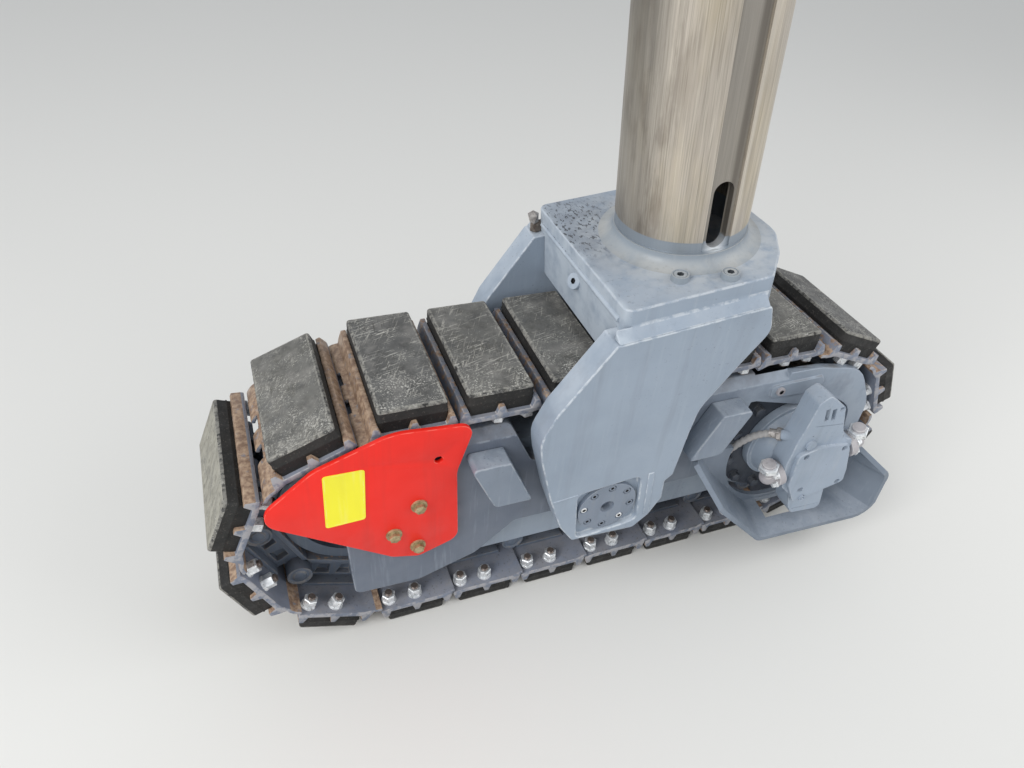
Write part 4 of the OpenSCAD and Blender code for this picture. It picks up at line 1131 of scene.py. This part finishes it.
def make_port_fittings():
    """The bolts round the two port elbows, four each, and the nut that caps each elbow's end."""
    flange_out, bolts_r, nut_out, nut_up = 14, 18.5, 26, 22
    mesh = new_mesh()
    bolt = nut_unit(13, 7, washer_r=9)
    nut = nut_unit(34, 12)
    for side, x in ((-1, -64), (1, 84)):
        for k in range(4):
            a = math.radians(45 + 90 * k)
            at = (x + side * flange_out, PORT_Y + bolts_r * math.cos(a), PORT_Z + bolts_r * math.sin(a))
            place(mesh, bolt, AT_MOTOR @ towards(at, (side, 0, 0), 13 * k))
        place(mesh, nut, AT_MOTOR @ towards((x + side * nut_out, PORT_Y, PORT_Z + nut_up), (0, 0, 1), 10))
    make_piece("port_bolts", mesh, "track_unit", ZINC)


def make_drain_hose():
    """The short hose from the frame to the motor's cover: woven wrap wound round it in turns."""
    a, b, c, d = (Vector(p) for p in HOSE_ROUTE)
    spots = []
    for k in range(HOSE_POINTS):
        t = k / (HOSE_POINTS - 1)
        spots.append(a * (1 - t) ** 3 + b * 3 * t * (1 - t) ** 2 + c * 3 * t * t * (1 - t) + d * t ** 3)
    wraps = [0.82 if k % 3 == 1 else 1.0 for k in range(HOSE_POINTS)]
    hose = rope("drain_hose_wrapped", spots, HOSE_D / 2, wraps, 4, "track_unit", WRAP)
    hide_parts("drain_hose")


def make_hose_fittings():
    """A crimped sleeve and a nut at each end of the drain hose."""
    sleeve = new_mesh()
    stud(sleeve, 9.8, 0, 13, 20, 9.2)
    sliced(sleeve, (0, 0, 1), (3, 5, 8, 10))
    for v in sleeve.verts:
        if 2.9 < v.co.z < 5.1 or 7.9 < v.co.z < 10.1:
            v.co.x *= 0.94
            v.co.y *= 0.94
    sleeve = frozen(sleeve, "sleeve")
    nut = nut_unit(23, 9)
    mesh = new_mesh()
    route = [Vector(p) / MM for p in HOSE_ROUTE]
    for end, inner in ((route[0], route[1]), (route[3], route[2])):
        ahead = (inner - end).normalized()
        place(mesh, sleeve, towards(end, ahead))
        place(mesh, nut, towards(end - ahead * 9, ahead, 20))
    make_piece("hose_fittings", mesh, "track_unit", FITTING, smooth=30)


# Solids that are shown in their own form


def make_rounded_solids():
    """Stands for the solids whose edges show, with those edges rounded."""
    for node in ("side_box_near", "side_box_far"):
        softened(node, "track_unit", BOX, 2.0)
    softened("idler_yoke", "track_unit", FRAME, 2.0)
    softened("motor_housing", "track_unit", CAST, 2.0)
    softened("motor_valve_block", "track_unit", CAST, 2.0, inner=False, cut=block_cuts())
    for node in ("port_elbow_front", "port_elbow_rear"):
        softened(node, "track_unit", PORT, 1.2)
    for node in ("stop_near_front", "stop_near_rear", "stop_far_front", "stop_far_rear"):
        softened(node, "track_unit", FRAME, 2.5)
    for node in ("arm_near", "arm_far"):
        softened(node, "leg", GREY, 2.5)
    softened("crown", "leg", CROWN, 3.0, join=2.2, cut=crown_cuts())


def paint_kept_solids():
    """Gives their materials to the solids that are shown as they are."""
    painted = {"track_frame": DECK, "tensioner": FRAME, "idler_wheel": WHEEL, "idler_axle": STEEL,
               "bottom_rollers": LINK, "roller_axles": STEEL, "sprocket": STEEL, "final_drive": DARK,
               "motor_guard": GUARD, "column": COLUMN}
    for node, material in painted.items():
        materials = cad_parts[node].data.materials
        for k in range(len(materials)):
            materials[k] = material


# The stage


def make_light(name, at, size, watts):
    data = bpy.data.lights.new(name, "AREA")
    data.size = size
    data.energy = watts
    light = add_object(name, data)
    light.location = at
    light.rotation_mode = "QUATERNION"
    light.rotation_quaternion = Vector(at).to_track_quat("Z", "Y")


def make_stage():
    """A pale floor under a soft sky, with a key light at the left and a fill at the right."""
    scene = bpy.context.scene
    scene.view_settings.view_transform = "Standard"
    world = bpy.data.worlds.new("studio")
    world.use_nodes = True
    sky = world.node_tree.nodes["Background"]
    sky.inputs["Color"].default_value = (0.93, 0.96, 1.0, 1.0)
    sky.inputs["Strength"].default_value = 0.72
    scene.world = world
    mesh = bmesh.new()
    bmesh.ops.create_grid(mesh, x_segments=1, y_segments=1, size=14.0)
    floor = add_object("floor", frozen(mesh, "floor"))
    material, tree, shader = new_material("pale_floor")[:3]
    shader.inputs["Base Color"].default_value = linear("#d8d7d3")
    shader.inputs["Roughness"].default_value = 0.9
    floor.data.materials.append(material)
    make_light("key", (-3.6, -1.8, 3.2), 2.6, 140)
    make_light("fill", (3.0, -1.6, 2.4), 3.0, 60)


make_camera()
make_drain_hose()
make_rounded_solids()
paint_kept_solids()
make_shoes()
make_pads()
make_links()
make_shoe_nuts()
make_idler_guard()
make_guard_fittings()
make_pin_screws()
make_collar()
make_fork_details()
make_drive_details()
make_port_fittings()
make_hose_fittings()
make_stage()
